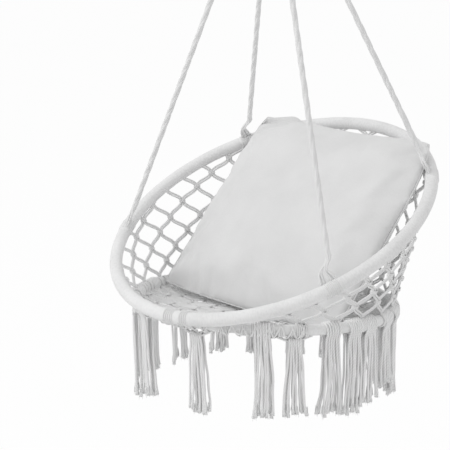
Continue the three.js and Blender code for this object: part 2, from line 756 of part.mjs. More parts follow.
function pillow(inset, steps) {
  const wide = pillowHalfWide - inset;
  const tall = pillowHalfTall - inset;
  const thick = cushion.crown - inset;
  const place = (u, v, way) => {
    const corner = 1 - (v > 0 ? cushion.topCorner : cushion.lowCorner) * Math.abs(u * v) ** 3;
    const x = wide * u * corner * (1 - cushion.draw * (1 - v * v));
    const y = tall * v * corner * (1 - cushion.draw * (1 - u * u));
    const swell = Math.sqrt((1 - u * u) * (1 - v * v));
    return vec(x, y, way * thick * swell + cushion.wrap * u * u);
  };
  const at = (i) => Math.sin(((2 * i) / steps - 1) * Math.PI * halfShare);
  const points = [];
  const faces = [];
  for (const way of [1, -1]) {
    const base = points.length;
    for (let i = 0; i <= steps; i += 1) {
      for (let j = 0; j <= steps; j += 1) points.push(place(at(i), at(j), way));
    }
    for (let i = 0; i < steps; i += 1) {
      for (let j = 0; j < steps; j += 1) {
        const a = base + i * (steps + 1) + j;
        const [b, c, d] = [a + steps + 1, a + steps + 2, a + 1];
        if (way > 0) faces.push(a, b, c, a, c, d);
        else faces.push(a, c, b, a, d, c);
      }
    }
  }
  const geometry = new THREE.BufferGeometry();
  geometry.setAttribute("position", new THREE.Float32BufferAttribute(points.flatMap((p) => p.toArray()), 3));
  geometry.setIndex(faces);
  return geometry;
}

const leaning = (geometry) =>
  geometry.rotateX(radians(cushion.lean)).translate(...pillowMiddle.toArray());

// The zip opening in the lower seam, following the cushion's bend
function zipSlit() {
  const path = Array.from({ length: cushion.zipSteps + 1 }, (_, i) => {
    const x = cushion.zipHalfLong * ((2 * i) / cushion.zipSteps - 1);
    const u = x / pillowHalfWide;
    const edge = -pillowHalfTall * (1 - cushion.draw * (1 - u * u));
    return vec(x, edge, cushion.wrap * u * u);
  });
  return tube(path, rectangle(cushion.zipHalfWide, cushion.zipDepth), false, vec(0, 0, 1));
}

// A shell between two pillows, open along the zip
function shell(outer, inner) {
  const [outside, inside, slit] = [outer, inner, zipSlit()].map((geometry) => solidOf(leaning(geometry)));
  return geometryOf(outside.subtract(inside).subtract(slit));
}

const inside = cushion.skin + 2 * gap;
const coverShell = shell(pillow(0, cushion.steps), pillow(cushion.skin, cushion.innerSteps));
const padShell = shell(pillow(inside, cushion.innerSteps), pillow(inside + cushion.pad, cushion.innerSteps));
chair.add(named("cushion_cover", coverShell, pillowCloth));
chair.add(named("cushion_insert", padShell, wadding));

export default group;
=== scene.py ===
# Hammock chair: the looks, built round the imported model.
# Soft pieces are worked out in millimetres in the chair's own frame, whose origin is the middle of
# the seat ring, and go into the row frame in metres.
import json
import math
import random

import bmesh
import bpy
import numpy as np
from mathutils import Matrix, Vector

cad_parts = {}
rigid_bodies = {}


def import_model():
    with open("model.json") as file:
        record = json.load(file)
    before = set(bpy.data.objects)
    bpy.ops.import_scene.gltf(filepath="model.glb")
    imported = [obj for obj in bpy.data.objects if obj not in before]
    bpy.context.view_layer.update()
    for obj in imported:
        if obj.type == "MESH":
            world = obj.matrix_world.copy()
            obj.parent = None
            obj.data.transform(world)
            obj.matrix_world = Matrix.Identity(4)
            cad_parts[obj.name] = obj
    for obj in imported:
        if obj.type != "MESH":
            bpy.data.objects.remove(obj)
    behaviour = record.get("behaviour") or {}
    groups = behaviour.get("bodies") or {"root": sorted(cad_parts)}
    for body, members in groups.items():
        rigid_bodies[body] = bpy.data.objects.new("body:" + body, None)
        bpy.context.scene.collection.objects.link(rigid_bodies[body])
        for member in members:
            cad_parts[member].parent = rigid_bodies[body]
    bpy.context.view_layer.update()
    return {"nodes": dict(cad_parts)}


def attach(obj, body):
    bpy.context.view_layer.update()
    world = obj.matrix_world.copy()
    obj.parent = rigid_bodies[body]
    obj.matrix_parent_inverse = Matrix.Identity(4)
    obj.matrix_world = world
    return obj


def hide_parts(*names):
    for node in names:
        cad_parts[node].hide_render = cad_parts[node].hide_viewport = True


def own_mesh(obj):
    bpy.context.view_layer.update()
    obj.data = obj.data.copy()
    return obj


for left in list(bpy.data.objects):
    bpy.data.objects.remove(left)
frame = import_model()
print("stage: model loaded")

hang = np.array((0.0, 20.0, 1067.0))  # the rope ring's lower wire, where the chair hangs
chairTip = -1.68  # degrees about X, because the cushion's weight tips the chair back
ropeRingLow = -259.85  # height of the rope ring's lower wire in the row frame
hoop = {"radius": 385, "cover": 15.3, "tilt": 25.5, "roll": 0, "back": 23, "up": 203.5}
seat = {"radius": 305, "cover": 12.7, "tilt": -5.8, "roll": -2.8, "back": 6, "up": -8}
fullTurn = 2 * math.pi


def turnX(points, degrees):
    cos, sin = math.cos(math.radians(degrees)), math.sin(math.radians(degrees))
    x, y, z = np.moveaxis(np.asarray(points, float), -1, 0)
    return np.stack((x, cos * y - sin * z, sin * y + cos * z), -1)


def turnY(points, degrees):
    cos, sin = math.cos(math.radians(degrees)), math.sin(math.radians(degrees))
    x, y, z = np.moveaxis(np.asarray(points, float), -1, 0)
    return np.stack((cos * x + sin * z, y, cos * z - sin * x), -1)


def toRow(points):
    return (turnX(np.asarray(points, float) - hang, chairTip) + (0, 0, ropeRingLow)) / 1000


def unit(vectors):
    vectors = np.asarray(vectors, float)
    return vectors / np.maximum(np.linalg.norm(vectors, axis=-1, keepdims=True), 1e-9)


# From a frame ring's own plane into the chair's frame, and back
def placed(ring, flat):
    return turnY(turnX(flat, ring["tilt"]), ring["roll"]) + (0, ring["back"], ring["up"])


def unplaced(ring, points):
    centred = np.asarray(points, float) - (0, ring["back"], ring["up"])
    return turnX(turnY(centred, -ring["roll"]), -ring["tilt"])


# A point beside a frame ring's middle line: out from its centre, and up off its plane
def ringPoint(ring, degrees, out=0.0, off=0.0):
    angle = np.radians(degrees)
    reach = ring["radius"] + np.asarray(out, float)
    flat = np.stack(np.broadcast_arrays(reach * np.cos(angle), -reach * np.sin(angle), off), -1)
    return placed(ring, flat)


def ringDistance(ring, points):
    flat = unplaced(ring, points)
    return np.hypot(np.hypot(flat[..., 0], flat[..., 1]) - ring["radius"], flat[..., 2])


# The way along a frame ring at this place
def ringWay(ring, degrees):
    degrees = np.asarray(degrees)
    return unit(ringPoint(ring, degrees + 0.5) - ringPoint(ring, degrees - 0.5))


# Length walked along a path, at each of its points
def walkedAlong(path):
    return np.concatenate(((0,), np.cumsum(np.linalg.norm(np.diff(path, axis=0), axis=1))))


# Smooth line through points, in steps of about this length
def smoothPath(points, step):
    points = np.asarray(points, float)
    ends = np.vstack((2 * points[0] - points[1], points, 2 * points[-1] - points[-2]))
    line = []
    for a, b, c, d in zip(ends, ends[1:], ends[2:], ends[3:]):
        count = max(math.ceil(np.linalg.norm(c - b) / step), 1)
        t = (np.arange(count) / count)[:, None]
        square, cube = (2 * a - 5 * b + 4 * c - d) * t**2, (3 * b - a - 3 * c + d) * t**3
        line.append(0.5 * (2 * b + (c - a) * t + square + cube))
    line.append(points[-1:])
    return np.vstack(line)


# A pile collects tubes of cord, so that many of them make one piece
def newPile():
    return {"points": [], "quads": [], "quadUvs": [], "tris": [], "triUvs": [], "count": 0}


# radius is one number, one for each point, or one for each point and side
def addTube(pile, path, radius, sides=8, closed=False, up=None):
    path = np.asarray(path, float)
    count = len(path)
    if closed:
        along = unit(np.roll(path, -1, 0) - np.roll(path, 1, 0))
    else:
        longer = np.vstack((path[:1], path, path[-1:]))
        along = unit(longer[2:] - longer[:-2])
    side = np.array((0, 0, 1.0)) if abs(along[0][2]) < 0.8 else np.array((1.0, 0, 0))
    normals = np.empty_like(path)
    for i in range(count):
        if up is not None:
            side = up[i]
        side = side - along[i] * side.dot(along[i])
        side = side / max(math.sqrt(side.dot(side)), 1e-9)
        normals[i] = side
    across = np.cross(along, normals)
    angle = np.arange(sides) * fullTurn / sides
    reach = np.asarray(radius, float)
    if reach.ndim == 1:
        reach = reach[:, None]
    reach = np.broadcast_to(reach, (count, sides))[..., None]
    around = normals[:, None] * np.cos(angle)[None, :, None] + across[:, None] * np.sin(angle)[None, :, None]
    first = pile["count"]
    pile["points"].append((path[:, None] + around * reach).reshape(-1, 3))
    pile["count"] += count * sides
    walked = walkedAlong(np.vstack((path, path[:1]))) / 1000
    i = np.arange(count if closed else count - 1)[:, None]
    j = np.arange(sides)[None]
    row, ahead, beside = i * sides, ((i + 1) % count) * sides, (j + 1) % sides
    corners = (row + j, row + beside, ahead + beside, ahead + j)
    pile["quads"].append(np.stack(corners, -1).reshape(-1, 4) + first)
    u, v = np.broadcast_arrays(j / sides, walked[i])
    far = np.broadcast_to(walked[i + 1], u.shape)
    wide = u + 1 / sides
    uvs = np.stack((u, v, wide, v, wide, far, u, far), -1)
    pile["quadUvs"].append(uvs.reshape(-1, 2))
    if closed:
        return
    for place, near, after in ((0, 1, 0), (count - 1, 0, 1)):
        middle = np.full(sides, pile["count"])
        pile["points"].append(path[place][None])
        pile["count"] += 1
        base = first + place * sides
        fan = np.stack((middle, base + (j[0] + near) % sides, base + (j[0] + after) % sides), -1)
        pile["tris"].append(fan)
        pile["triUvs"].append(np.tile((0.5, walked[place]), (3 * sides, 1)))


def pileObject(pile, name):
    points = toRow(np.vstack(pile["points"]))
    faces = np.vstack(pile["quads"]).tolist()
    uvs = np.vstack(pile["quadUvs"] + pile["triUvs"])
    if pile["tris"]:
        faces += np.vstack(pile["tris"]).tolist()
    return meshObject(name, points, faces, uvs)


def meshObject(name, points, faces, uvs):
    mesh = bpy.data.meshes.new(name)
    mesh.from_pydata(points.tolist(), [], faces)
    layer = mesh.uv_layers.new(name="cloth")
    layer.data.foreach_set("uv", np.ascontiguousarray(uvs, np.float32).ravel())
    mesh.polygons.foreach_set("use_smooth", np.ones(len(mesh.polygons), bool))
    piece = bpy.data.objects.new(name, mesh)
    bpy.context.scene.collection.objects.link(piece)
    return piece


def settle(piece, body, material, slotName, *nodes):
    piece.data.materials.clear()
    piece.data.materials.append(material)
    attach(piece, body)
    if nodes:
        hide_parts(*nodes)
    return piece


def settleCords(pile, name, cotton, node):
    return settle(pileObject(pile, name), "chair", cotton, "cotton_cord", node)


def selectOnly(piece):
    bpy.ops.object.select_all(action="DESELECT")
    piece.select_set(True)
    bpy.context.view_layer.objects.active = piece


# Camera at the photograph's place
cameraFacts = {
    "azimuth": 47.5,
    "elevation": 14.5,
    "distance": 2931,
    "slide": -88,
    "aimHeight": 178,
    "roll": -0.12,
    "lens": 100.31,
    "sensor": 36,
}
azimuth, elevation = math.radians(cameraFacts["azimuth"]), math.radians(cameraFacts["elevation"])
back = np.array((
    math.sin(azimuth) * math.cos(elevation),
    -math.cos(azimuth) * math.cos(elevation),
    math.sin(elevation),
))
right = np.array((math.cos(azimuth), math.sin(azimuth), 0))
up = np.cross(back, right)
aim = right * cameraFacts["slide"] + (0, 0, cameraFacts["aimHeight"])
roll = math.radians(cameraFacts["roll"])
right, up = math.cos(roll) * right + math.sin(roll) * up, math.cos(roll) * up - math.sin(roll) * right
cameraData = bpy.data.cameras.new("camera")
cameraData.lens = cameraFacts["lens"]
cameraData.sensor_width = cameraFacts["sensor"]
cameraData.dof.use_dof = False
camera = bpy.data.objects.new("camera", cameraData)
bpy.context.scene.collection.objects.link(camera)
axes = [turnX(way, chairTip) for way in (right, up, back)]
place = toRow(aim + back * cameraFacts["distance"])
rows = [[*(way[i] for way in axes), place[i]] for i in range(3)]
camera.matrix_world = Matrix(rows + [[0, 0, 0, 1]])
bpy.context.scene.camera = camera
print("stage: camera")


# sRGB hex colour to the linear colour that shaders take
def srgb(code):
    parts = [int(code[i : i + 2], 16) / 255 for i in (1, 3, 5)]
    return (*(p / 12.92 if p <= 0.04045 else ((p + 0.055) / 1.055) ** 2.4 for p in parts), 1.0)


# Gives a node's inputs values or links. A node given as a value stands for its first output.
def setInputs(node, inputs):
    for name, value in inputs.items():
        if isinstance(value, bpy.types.Node):
            value = value.outputs[0]
        if isinstance(value, bpy.types.NodeSocket):
            node.id_data.links.new(value, node.inputs[name])
        else:
            node.inputs[name].default_value = value


def addNode(tree, kind, inputs=None, **settings):
    node = tree.nodes.new("ShaderNode" + kind)
    for name, value in settings.items():
        setattr(node, name, value)
    setInputs(node, inputs or {})
    return node


def newMaterial(name):
    material = bpy.data.materials.new(name)
    material.use_nodes = True
    tree = material.node_tree
    tree.nodes.clear()
    shader = addNode(tree, "BsdfPrincipled")
    addNode(tree, "OutputMaterial", {"Surface": shader})
    coords = addNode(tree, "TexCoord")
    return material, tree, shader, coords.outputs["Object"], coords.outputs["UV"]


# Cotton cord, loosely twisted from three plies and undyed: dull and a little hairy. The plies
# follow the cord's own UV map: x goes round it and y along it in metres. The twist, about 9 mm
# long on the real cord, is drawn at 14 mm so that it shows.
def cottonCord(name, colour, shadeColour, lay=0.014, plies=3):
    material, tree, shader, place, uv = newMaterial(name)
    parts = addNode(tree, "SeparateXYZ", {0: uv})
    around = addNode(tree, "Math", {0: parts.outputs["X"], 1: float(plies)}, operation="MULTIPLY")
    along = addNode(tree, "Math", {0: parts.outputs["Y"], 1: plies / lay}, operation="MULTIPLY")
    twist = addNode(tree, "Math", {0: around, 1: along}, operation="SUBTRACT")
    ply = addNode(tree, "Math", {0: twist, 1: 0.5}, operation="PINGPONG")
    plyRound = addNode(tree, "Math", {0: ply, 1: 0.6}, operation="POWER")
    fibre = addNode(tree, "TexNoise", {"Vector": place, "Scale": 900.0, "Detail": 3.0, "Roughness": 0.7})
    blotch = addNode(tree, "TexNoise", {"Vector": place, "Scale": 38.0, "Detail": 2.0})
    # the grooves between the plies are painted darker: painted shade, mixed with random blotches of tone
    groove = {"Value": ply, "From Min": 0.0, "From Max": 0.28, "To Min": 0.75, "To Max": 0.0}
    shade = addNode(tree, "MapRange", groove)
    blotchAndGrooveShade = addNode(tree, "Math", {0: blotch, 1: 0.3, 2: shade}, operation="MULTIPLY_ADD")
    colours = addNode(tree, "Mix", {0: blotchAndGrooveShade, 6: srgb(colour), 7: srgb(shadeColour)}, data_type="RGBA")
    twistBump = addNode(tree, "Bump", {"Strength": 0.35, "Distance": 0.0008, "Height": plyRound})
    hairs = {"Strength": 0.3, "Distance": 0.0004, "Height": fibre, "Normal": twistBump}
    setInputs(shader, {
        "Base Color": colours.outputs[2],
        "Normal": addNode(tree, "Bump", hairs),
        "Roughness": 0.92,
        "Sheen Weight": 0.25,
        "Sheen Roughness": 0.5,
        "Specular IOR Level": 0.2,
    })
    return material


netCotton = cottonCord("twistedCottonCord", "#f4f4f4", "#d2d2d2")
tasselCotton = cottonCord("combedCottonStrand", "#f4f4f4", "#d6d6d6", lay=0.022)
ropeCotton = cottonCord("laidCottonRope", "#f2f2f2", "#c4c4c4", lay=0.03, plies=12)


# Cotton cord wound tightly round the steel frame: fine ribs across the tube, rubbed a little
# greyer in broad patches. The ribs themselves are in the mesh; the bump gives them fine fibre.
def woundCotton():
    material, tree, shader, place, uv = newMaterial("woundCotton")
    fibre = addNode(tree, "TexNoise", {"Vector": place, "Scale": 700.0, "Detail": 3.0, "Roughness": 0.65})
    rubbed = addNode(tree, "TexNoise", {"Vector": place, "Scale": 14.0, "Detail": 3.0})
    stretch = addNode(tree, "Mapping", {"Vector": uv, "Scale": (14.0, 278.0, 1.0)})
    strand = addNode(tree, "TexNoise", {"Vector": stretch, "Scale": 1.0, "Detail": 1.0})
    both = addNode(tree, "Math", {0: rubbed, 1: strand}, operation="ADD")
    share = addNode(tree, "MapRange", {"Value": both, "From Min": 0.75, "From Max": 1.35})
    colours = addNode(tree, "Mix", {0: share, 6: srgb("#ececec"), 7: srgb("#dedede")}, data_type="RGBA")
    setInputs(shader, {
        "Base Color": colours.outputs[2],
        "Normal": addNode(tree, "Bump", {"Strength": 0.35, "Distance": 0.0005, "Height": fibre}),
        "Roughness": 0.9,
        "Sheen Weight": 0.2,
        "Specular IOR Level": 0.2,
    })
    return material


coverCotton = woundCotton()


# Plain-weave cotton canvas: matt, with a soft nap. Real threads lie 0.6 mm apart; they are drawn
# 1.6 mm apart so that they show. The weave follows the panels' own UV map, in metres.
def canvasCloth():
    material, tree, shader, place, uv = newMaterial("cottonCanvas")
    parts = addNode(tree, "SeparateXYZ", {0: uv})
    threads = []
    for axis in ("X", "Y"):
        scaled = addNode(tree, "Math", {0: parts.outputs[axis], 1: 625.0}, operation="MULTIPLY")
        threads.append(addNode(tree, "Math", {0: scaled, 1: 0.5}, operation="PINGPONG"))
    weave = addNode(tree, "Math", {0: threads[0], 1: threads[1]}, operation="MULTIPLY")
    slub = addNode(tree, "TexNoise", {"Vector": place, "Scale": 260.0, "Detail": 4.0, "Roughness": 0.6})
    blotch = addNode(tree, "TexNoise", {"Vector": place, "Scale": 11.0, "Detail": 2.0})
    both = addNode(tree, "Math", {0: slub, 1: 0.5, 2: blotch}, operation="MULTIPLY_ADD")
    share = addNode(tree, "MapRange", {"Value": both, "From Min": 0.5, "From Max": 1.05})
    colours = addNode(tree, "Mix", {0: share, 6: srgb("#e2e2e2"), 7: srgb("#d9d9d9")}, data_type="RGBA")
    weaveBump = addNode(tree, "Bump", {"Strength": 0.25, "Distance": 0.0005, "Height": weave})
    nap = {"Strength": 0.15, "Distance": 0.0006, "Height": slub, "Normal": weaveBump}
    setInputs(shader, {
        "Base Color": colours.outputs[2],
        "Normal": addNode(tree, "Bump", nap),
        "Roughness": 0.88,
        "Sheen Weight": 0.3,
        "Sheen Roughness": 0.4,
        "Specular IOR Level": 0.25,
    })
    return material


cushionCloth = canvasCloth()


# Plain stuff with one noise in its colour, roughness and relief: wadding, coated tube, metals
def plainStuff(name, colours, roughness, scale, metallic=0.0, relief=0.1, distance=0.0003):
    material, tree, shader, place, uv = newMaterial(name)
    cloud = addNode(tree, "TexNoise", {"Vector": place, "Scale": scale, "Detail": 4.0, "Roughness": 0.6})
    mixed = addNode(tree, "Mix", {0: cloud, 6: srgb(colours[0]), 7: srgb(colours[1])}, data_type="RGBA")
    low, high = roughness
    setInputs(shader, {
        "Base Color": mixed.outputs[2],
        "Roughness": addNode(tree, "MapRange", {"Value": cloud, "To Min": low, "To Max": high}),
        "Normal": addNode(tree, "Bump", {"Strength": relief, "Distance": distance, "Height": cloud}),
        "Metallic": metallic,
    })
    return material


# Polyester wadding: soft white loft with no gloss
loft = {"relief": 0.6, "distance": 0.002}
wadding = plainStuff("polyesterWadding", ("#f0f0f0", "#e2e2e2"), (0.95, 1.0), 120.0, **loft)
# Chromed steel, bright with a few dull breaths
polishedSteel = plainStuff("polishedSteel", ("#cfccc6", "#bdbab4"), (0.08, 0.22), 90.0, 1.0, 0.04)
# Bright zinc plating: greyer, with a fine crystalline bloom
zincPlated = plainStuff("zincPlatedSteel", ("#c2c4c6", "#a6a8ab"), (0.24, 0.46), 520.0, 1.0, 0.12)
# Powder-coated steel tube: satin, with a slight orange peel
powderCoat = plainStuff("powderCoatedTube", ("#8f9295", "#7f8285"), (0.4, 0.55), 800.0, 0.0, 0.15)
print("stage: materials")


# Four hanging ropes, laid from three soft strands each
ropes = {
    "places": {"front_right": 26.6, "front_left": 153.4, "back_left": 218.3, "back_right": 321.7},
    "radius": 6.5,
    "groove": 1.7,
    "strands": 3,
    "lay": 118,
    "fork": 62,  # above the hoop's middle line, along the rope
    "gather": 6.5,  # from the middle of the whipping at the top, both ways
    "gatherLow": -46,
    "topEnd": -26,
    "bend": 40,
    "step": 2.2,
    "legCord": 1.9,
    "legStart": ((30, 3.2), (14, 4.6), (1, 5.0)),  # above the fork, and out from the rope's middle
    "legEnd": ((42, 0.5, 1), (25, 0.93, 0.9), (16, 1, 0.5)),  # above the hoop, shares of spread and bow
    "legBow": 2.4,
    "legSpreads": {"front_right": 12, "front_left": 8, "back_left": 5, "back_right": 6},
    "legPitch": 3.6,
}


def ropeLine(degrees):
    foot = ringPoint(hoop, degrees)
    line = unit(hang - foot)
    return foot, line, foot + line * ropes["fork"]


def ropePath(degrees):
    foot, line, fork = ropeLine(degrees)
    corner = np.append(np.sign((foot - hang)[:2]) * ropes["gather"], 0)
    aimPoint = hang + corner + (0, 0, ropes["gatherLow"])
    top = hang + corner + (0, 0, ropes["topEnd"])
    way = unit(aimPoint - fork)
    bendStart = aimPoint - way * ropes["bend"]
    count = math.ceil(np.linalg.norm(bendStart - fork) / ropes["step"])
    straight = fork + (bendStart - fork) * (np.arange(count) / count)[:, None]
    t = np.linspace(0, 1, 28)[:, None]
    curve = (1 - t) ** 2 * bendStart + 2 * t * (1 - t) * aimPoint + t**2 * top
    return np.vstack((straight, curve))


# The outline of a rope of round strands that wind about each other
def strandedReach(path, sides, radius, strands, lay, groove, phase=0.0):
    walked = walkedAlong(path)
    angle = np.arange(sides) * fullTurn / sides
    wander = 0.35 * np.sin(walked / 61 + phase) + 0.25 * np.sin(walked / 23 + 2 * phase)
    twist = fullTurn * walked / lay + phase + wander
    lobe = np.abs(np.cos(0.5 * strands * (angle[None] - twist[:, None])))
    swell = 1 + 0.03 * np.sin(walked / 17 + phase)[:, None]
    return (radius - groove * (1 - lobe) ** 1.4) * swell


for index, (ropeName, degrees) in enumerate(ropes["places"].items()):
    path = ropePath(degrees)
    shape = ropes["radius"], ropes["strands"], ropes["lay"], ropes["groove"]
    reach = strandedReach(path, 24, *shape, index)
    reach[:9] *= np.linspace(0.72, 1, 9)[:, None]  # drawn in where the strands part
    pile = newPile()
    addTube(pile, path, reach, 24)
    piece = settleCords(pile, "rope_" + ropeName + "_laid", ropeCotton, "rope_" + ropeName)
    rowPath = toRow(path)
    length = float(np.linalg.norm(np.diff(rowPath, axis=0), axis=1).sum())
    print(f"rope {ropeName}: {length:.3f} m")

    # the strands part into two legs of four cords, which go down between the lashing's turns
    foot, line, fork = ropeLine(degrees)
    tangent = ringWay(hoop, degrees)
    inward = unit(line - tangent * line.dot(tangent))
    across = np.cross(line, tangent)
    pile = newPile()
    for i in range(8):
        way = -1 if i < 4 else 1
        slot = (i % 4) - 1.5
        angle = fullTurn * (i + 0.5) / 8
        hug = tangent * math.cos(angle + math.pi) + across * math.sin(angle)
        slide = way * ropes["legSpreads"][ropeName] + slot * ropes["legPitch"]
        bow = across * (ropes["legBow"] if i % 2 else -ropes["legBow"])
        points = [fork + line * rise + hug * out for rise, out in ropes["legStart"]]
        for rise, slideShare, bowShare in ropes["legEnd"]:
            points.append(foot + inward * rise + tangent * slide * slideShare + bow * bowShare)
        addTube(pile, smoothPath(points, 2.5), ropes["legCord"], 10)
    settleCords(pile, "rope_" + ropeName + "_legs", netCotton, "rope_" + ropeName)
print("stage: ropes")


# Knot on the rope ring: the ropes' bights go over the ring and are whipped together below it
knot = {
    "loopRadius": 9.3,
    "rope": 5.0,
    "lay": 60,
    "groove": 1.2,
    "sideways": 5.8,
    "legs": ((ropes["gather"], -36), (7.2, -22)),  # out and up, on the way to the bight
    "turns": 6,
    "pitch": 4.5,
    "whip": 2.2,
    "top": -18,
    "square": 0.035,  # how far the whipping bulges over the four ropes
    "press": 0.6,
}
pile = newPile()
for way in (-1, 1):
    loop = [(out, way * ropes["gather"], rise) for out, rise in knot["legs"]]
    for angle in np.radians(np.linspace(-30, 210, 13)):
        out, rise = knot["loopRadius"] * math.cos(angle), knot["loopRadius"] * math.sin(angle)
        loop.append((out, way * knot["sideways"], rise))
    loop += [(-out, way * ropes["gather"], rise) for out, rise in knot["legs"][::-1]]
    path = smoothPath(hang + np.array(loop), 1.6)
    reach = strandedReach(path, 20, knot["rope"], ropes["strands"], knot["lay"], knot["groove"], way)
    addTube(pile, path, reach, 20)
settleCords(pile, "rope_knot_bights", ropeCotton, "rope_knot")
pile = newPile()
turnsDone = np.linspace(0, knot["turns"], knot["turns"] * 28 + 1)
squareness = 1 + knot["square"] * np.cos(4 * fullTurn * turnsDone + math.pi)
reach = (ropes["gather"] * math.sqrt(2) + ropes["radius"] - knot["press"] + knot["whip"]) * squareness
angle = fullTurn * turnsDone
heights = knot["top"] - turnsDone * knot["pitch"]
whipping = np.stack((reach * np.cos(angle), reach * np.sin(angle), heights), -1)
addTube(pile, hang + whipping, knot["whip"], 10)
settleCords(pile, "rope_knot_whipping", netCotton, "rope_knot")
print("stage: rope knot")


# Cotton cord wound over the hoop and the seat ring, one rib for each turn
winding = {"pitch": 3.6, "stepsPerTurn": 4, "rib": 0.32, "uneven": 0.18, "waves": (7, 23, 61)}


def woundCover(ring, name, sides):
    turns = round(fullTurn * ring["radius"] / winding["pitch"])
    count = turns * winding["stepsPerTurn"]
    degrees = np.arange(count) * 360 / count
    phase = (np.arange(count) / winding["stepsPerTurn"])[:, None] - np.arange(sides) / sides
    rib = np.abs(np.cos(math.pi * phase)) - 0.6
    lumps = sum(np.sin(np.radians(degrees) * waves + i) for i, waves in enumerate(winding["waves"]))
    reach = ring["cover"] - winding["rib"] + winding["rib"] * rib + winding["uneven"] * lumps[:, None] / 3
    normal = placed(ring, (0, 0, 1)) - placed(ring, (0, 0, 0))
    pile = newPile()
    addTube(pile, ringPoint(ring, degrees), reach, sides, closed=True, up=np.tile(normal, (count, 1)))
    return pileObject(pile, name)


settle(woundCover(hoop, "upper_hoop_winding", 20), "chair", coverCotton, "wound_cotton", "upper_hoop_cover")
settle(woundCover(seat, "seat_ring_winding", 18), "chair", coverCotton, "wound_cotton", "seat_ring_cover")
print("stage: frame covers")


# A cord's turns round a frame ring
def wrapPath(ring, degrees, turns, reach, pitch, steps=18, start=0.0):
    share = np.linspace(0, 1, round(turns * steps) + 1)
    angle = fullTurn * (turns * share + start)
    spread = np.degrees(turns * pitch / ring["radius"])
    return ringPoint(ring, degrees + spread * (share - 0.5), reach * np.cos(angle), reach * np.sin(angle))


lashing = {"wire": 1.75, "proud": 1.5, "turns": 9, "pitch": 3.65}
for ropeName, degrees in ropes["places"].items():
    pile = newPile()
    reach = hoop["cover"] + lashing["proud"] - lashing["wire"]
    addTube(pile, wrapPath(hoop, degrees, lashing["turns"], reach, lashing["pitch"]), lashing["wire"], 10)
    settleCords(pile, "lashing_" + ropeName + "_cord", coverCotton, "lashing_" + ropeName)
print("stage: lashings")


# Diamond net between the seat ring and the hoop. Columns are counted round the chair, rows up it.
sideNet = {
    "columns": 48,
    "rowRise": 36.5,
    "hem": 16.25,
    "cord": 2.35,
    "apart": 2.75,
    "sway": 1.8,
    "rounding": 0.6,  # how steeply the cords leave a knot
    "knotWide": 6.2,
    "knotDeep": 4.6,
    "knotCord": 1.9,
    "knotTurns": 2.6,
    "knotTall": 9.4,
    "rows": 13,
    "bow": 1.6,
    "droop": 1.2,
    "pinch": 0.42,  # share by which the cords draw together at a knot
    "end": 12.5,  # from the hoop's middle line, inside its winding
    "dense": (2, 62),  # here each side has three thinner cords
    "denseCord": 1.95,
    "denseApart": 4.1,
}


def netPoint(degrees, height, out=0.0):
    low = ringPoint(seat, degrees, 0, sideNet["hem"])
    along = unit(ringPoint(hoop, degrees) - low)
    outward = unit(np.cross(along, ringWay(seat, degrees)))
    return low + along * np.asarray(height)[..., None] + outward * np.asarray(out)[..., None]


def netHeight(degrees):
    low = ringPoint(seat, degrees, 0, sideNet["hem"])
    return float(np.linalg.norm(ringPoint(hoop, degrees) - low))


netRandom = random.Random(31)
netNodes = {}
for column in range(sideNet["columns"]):
    degrees = column * 360 / sideNet["columns"]
    for row in range(sideNet["rows"]):
        if (column + row) % 2:
            continue
        sway = sideNet["sway"] if row else 0.0
        aside = math.degrees(netRandom.uniform(-sway, sway) / seat["radius"])
        netNodes[column, row] = (degrees + aside, row * sideNet["rowRise"] + netRandom.uniform(-sway, sway))

# each side of a diamond is two cords, three at the front right, a little bowed and drawn together
# at the knots; they end in the hoop's winding
cordPile, knotPile = newPile(), newPile()
for (column, row), (degrees, height) in netNodes.items():
    for way in (-1, 1):
        other = netNodes.get(((column + way) % sideNet["columns"], row + 1))
        if other is None or height > netHeight(degrees) - 6:
            continue
        farDegrees = other[0] + 360 * ((column + way) // sideNet["columns"])
        t = np.linspace(0, 1, 13)
        aside = t - sideNet["rounding"] * np.sin(fullTurn * t) / fullTurn
        bow = netRandom.uniform(-sideNet["bow"], sideNet["bow"]) * np.sin(math.pi * t)
        line = netPoint(
            degrees + (farDegrees - degrees) * aside,
            height + (other[1] - height) * t - sideNet["droop"] * np.sin(math.pi * t),
            bow,
        )
        near = ringDistance(hoop, line)
        if near[0] < sideNet["end"] + 0.5:
            continue
        inside = np.nonzero(near < sideNet["end"])[0]
        if len(inside):
            line = line[: inside[0] + 1]
        if len(line) < 2:
            continue
        t = t[: len(line)]
        outward = unit(netPoint(degrees, height, 1.0) - netPoint(degrees, height))
        along = unit(np.gradient(line, axis=0))
        beside = unit(np.cross(along, outward))
        dense = sideNet["dense"][0] <= degrees % 360 <= sideNet["dense"][1]
        pinch = 1 - sideNet["pinch"] * np.abs(2 * t - 1) ** 5
        apart = sideNet["denseApart"] if dense else sideNet["apart"]
        for shift in (-apart, 0, apart) if dense else (-apart, apart):
            lift = 0.5 * np.sin(fullTurn * t + shift)
            cord = line + beside * (shift * pinch)[:, None] + outward * lift[:, None]
            addTube(cordPile, cord, sideNet["denseCord"] if dense else sideNet["cord"], 8)

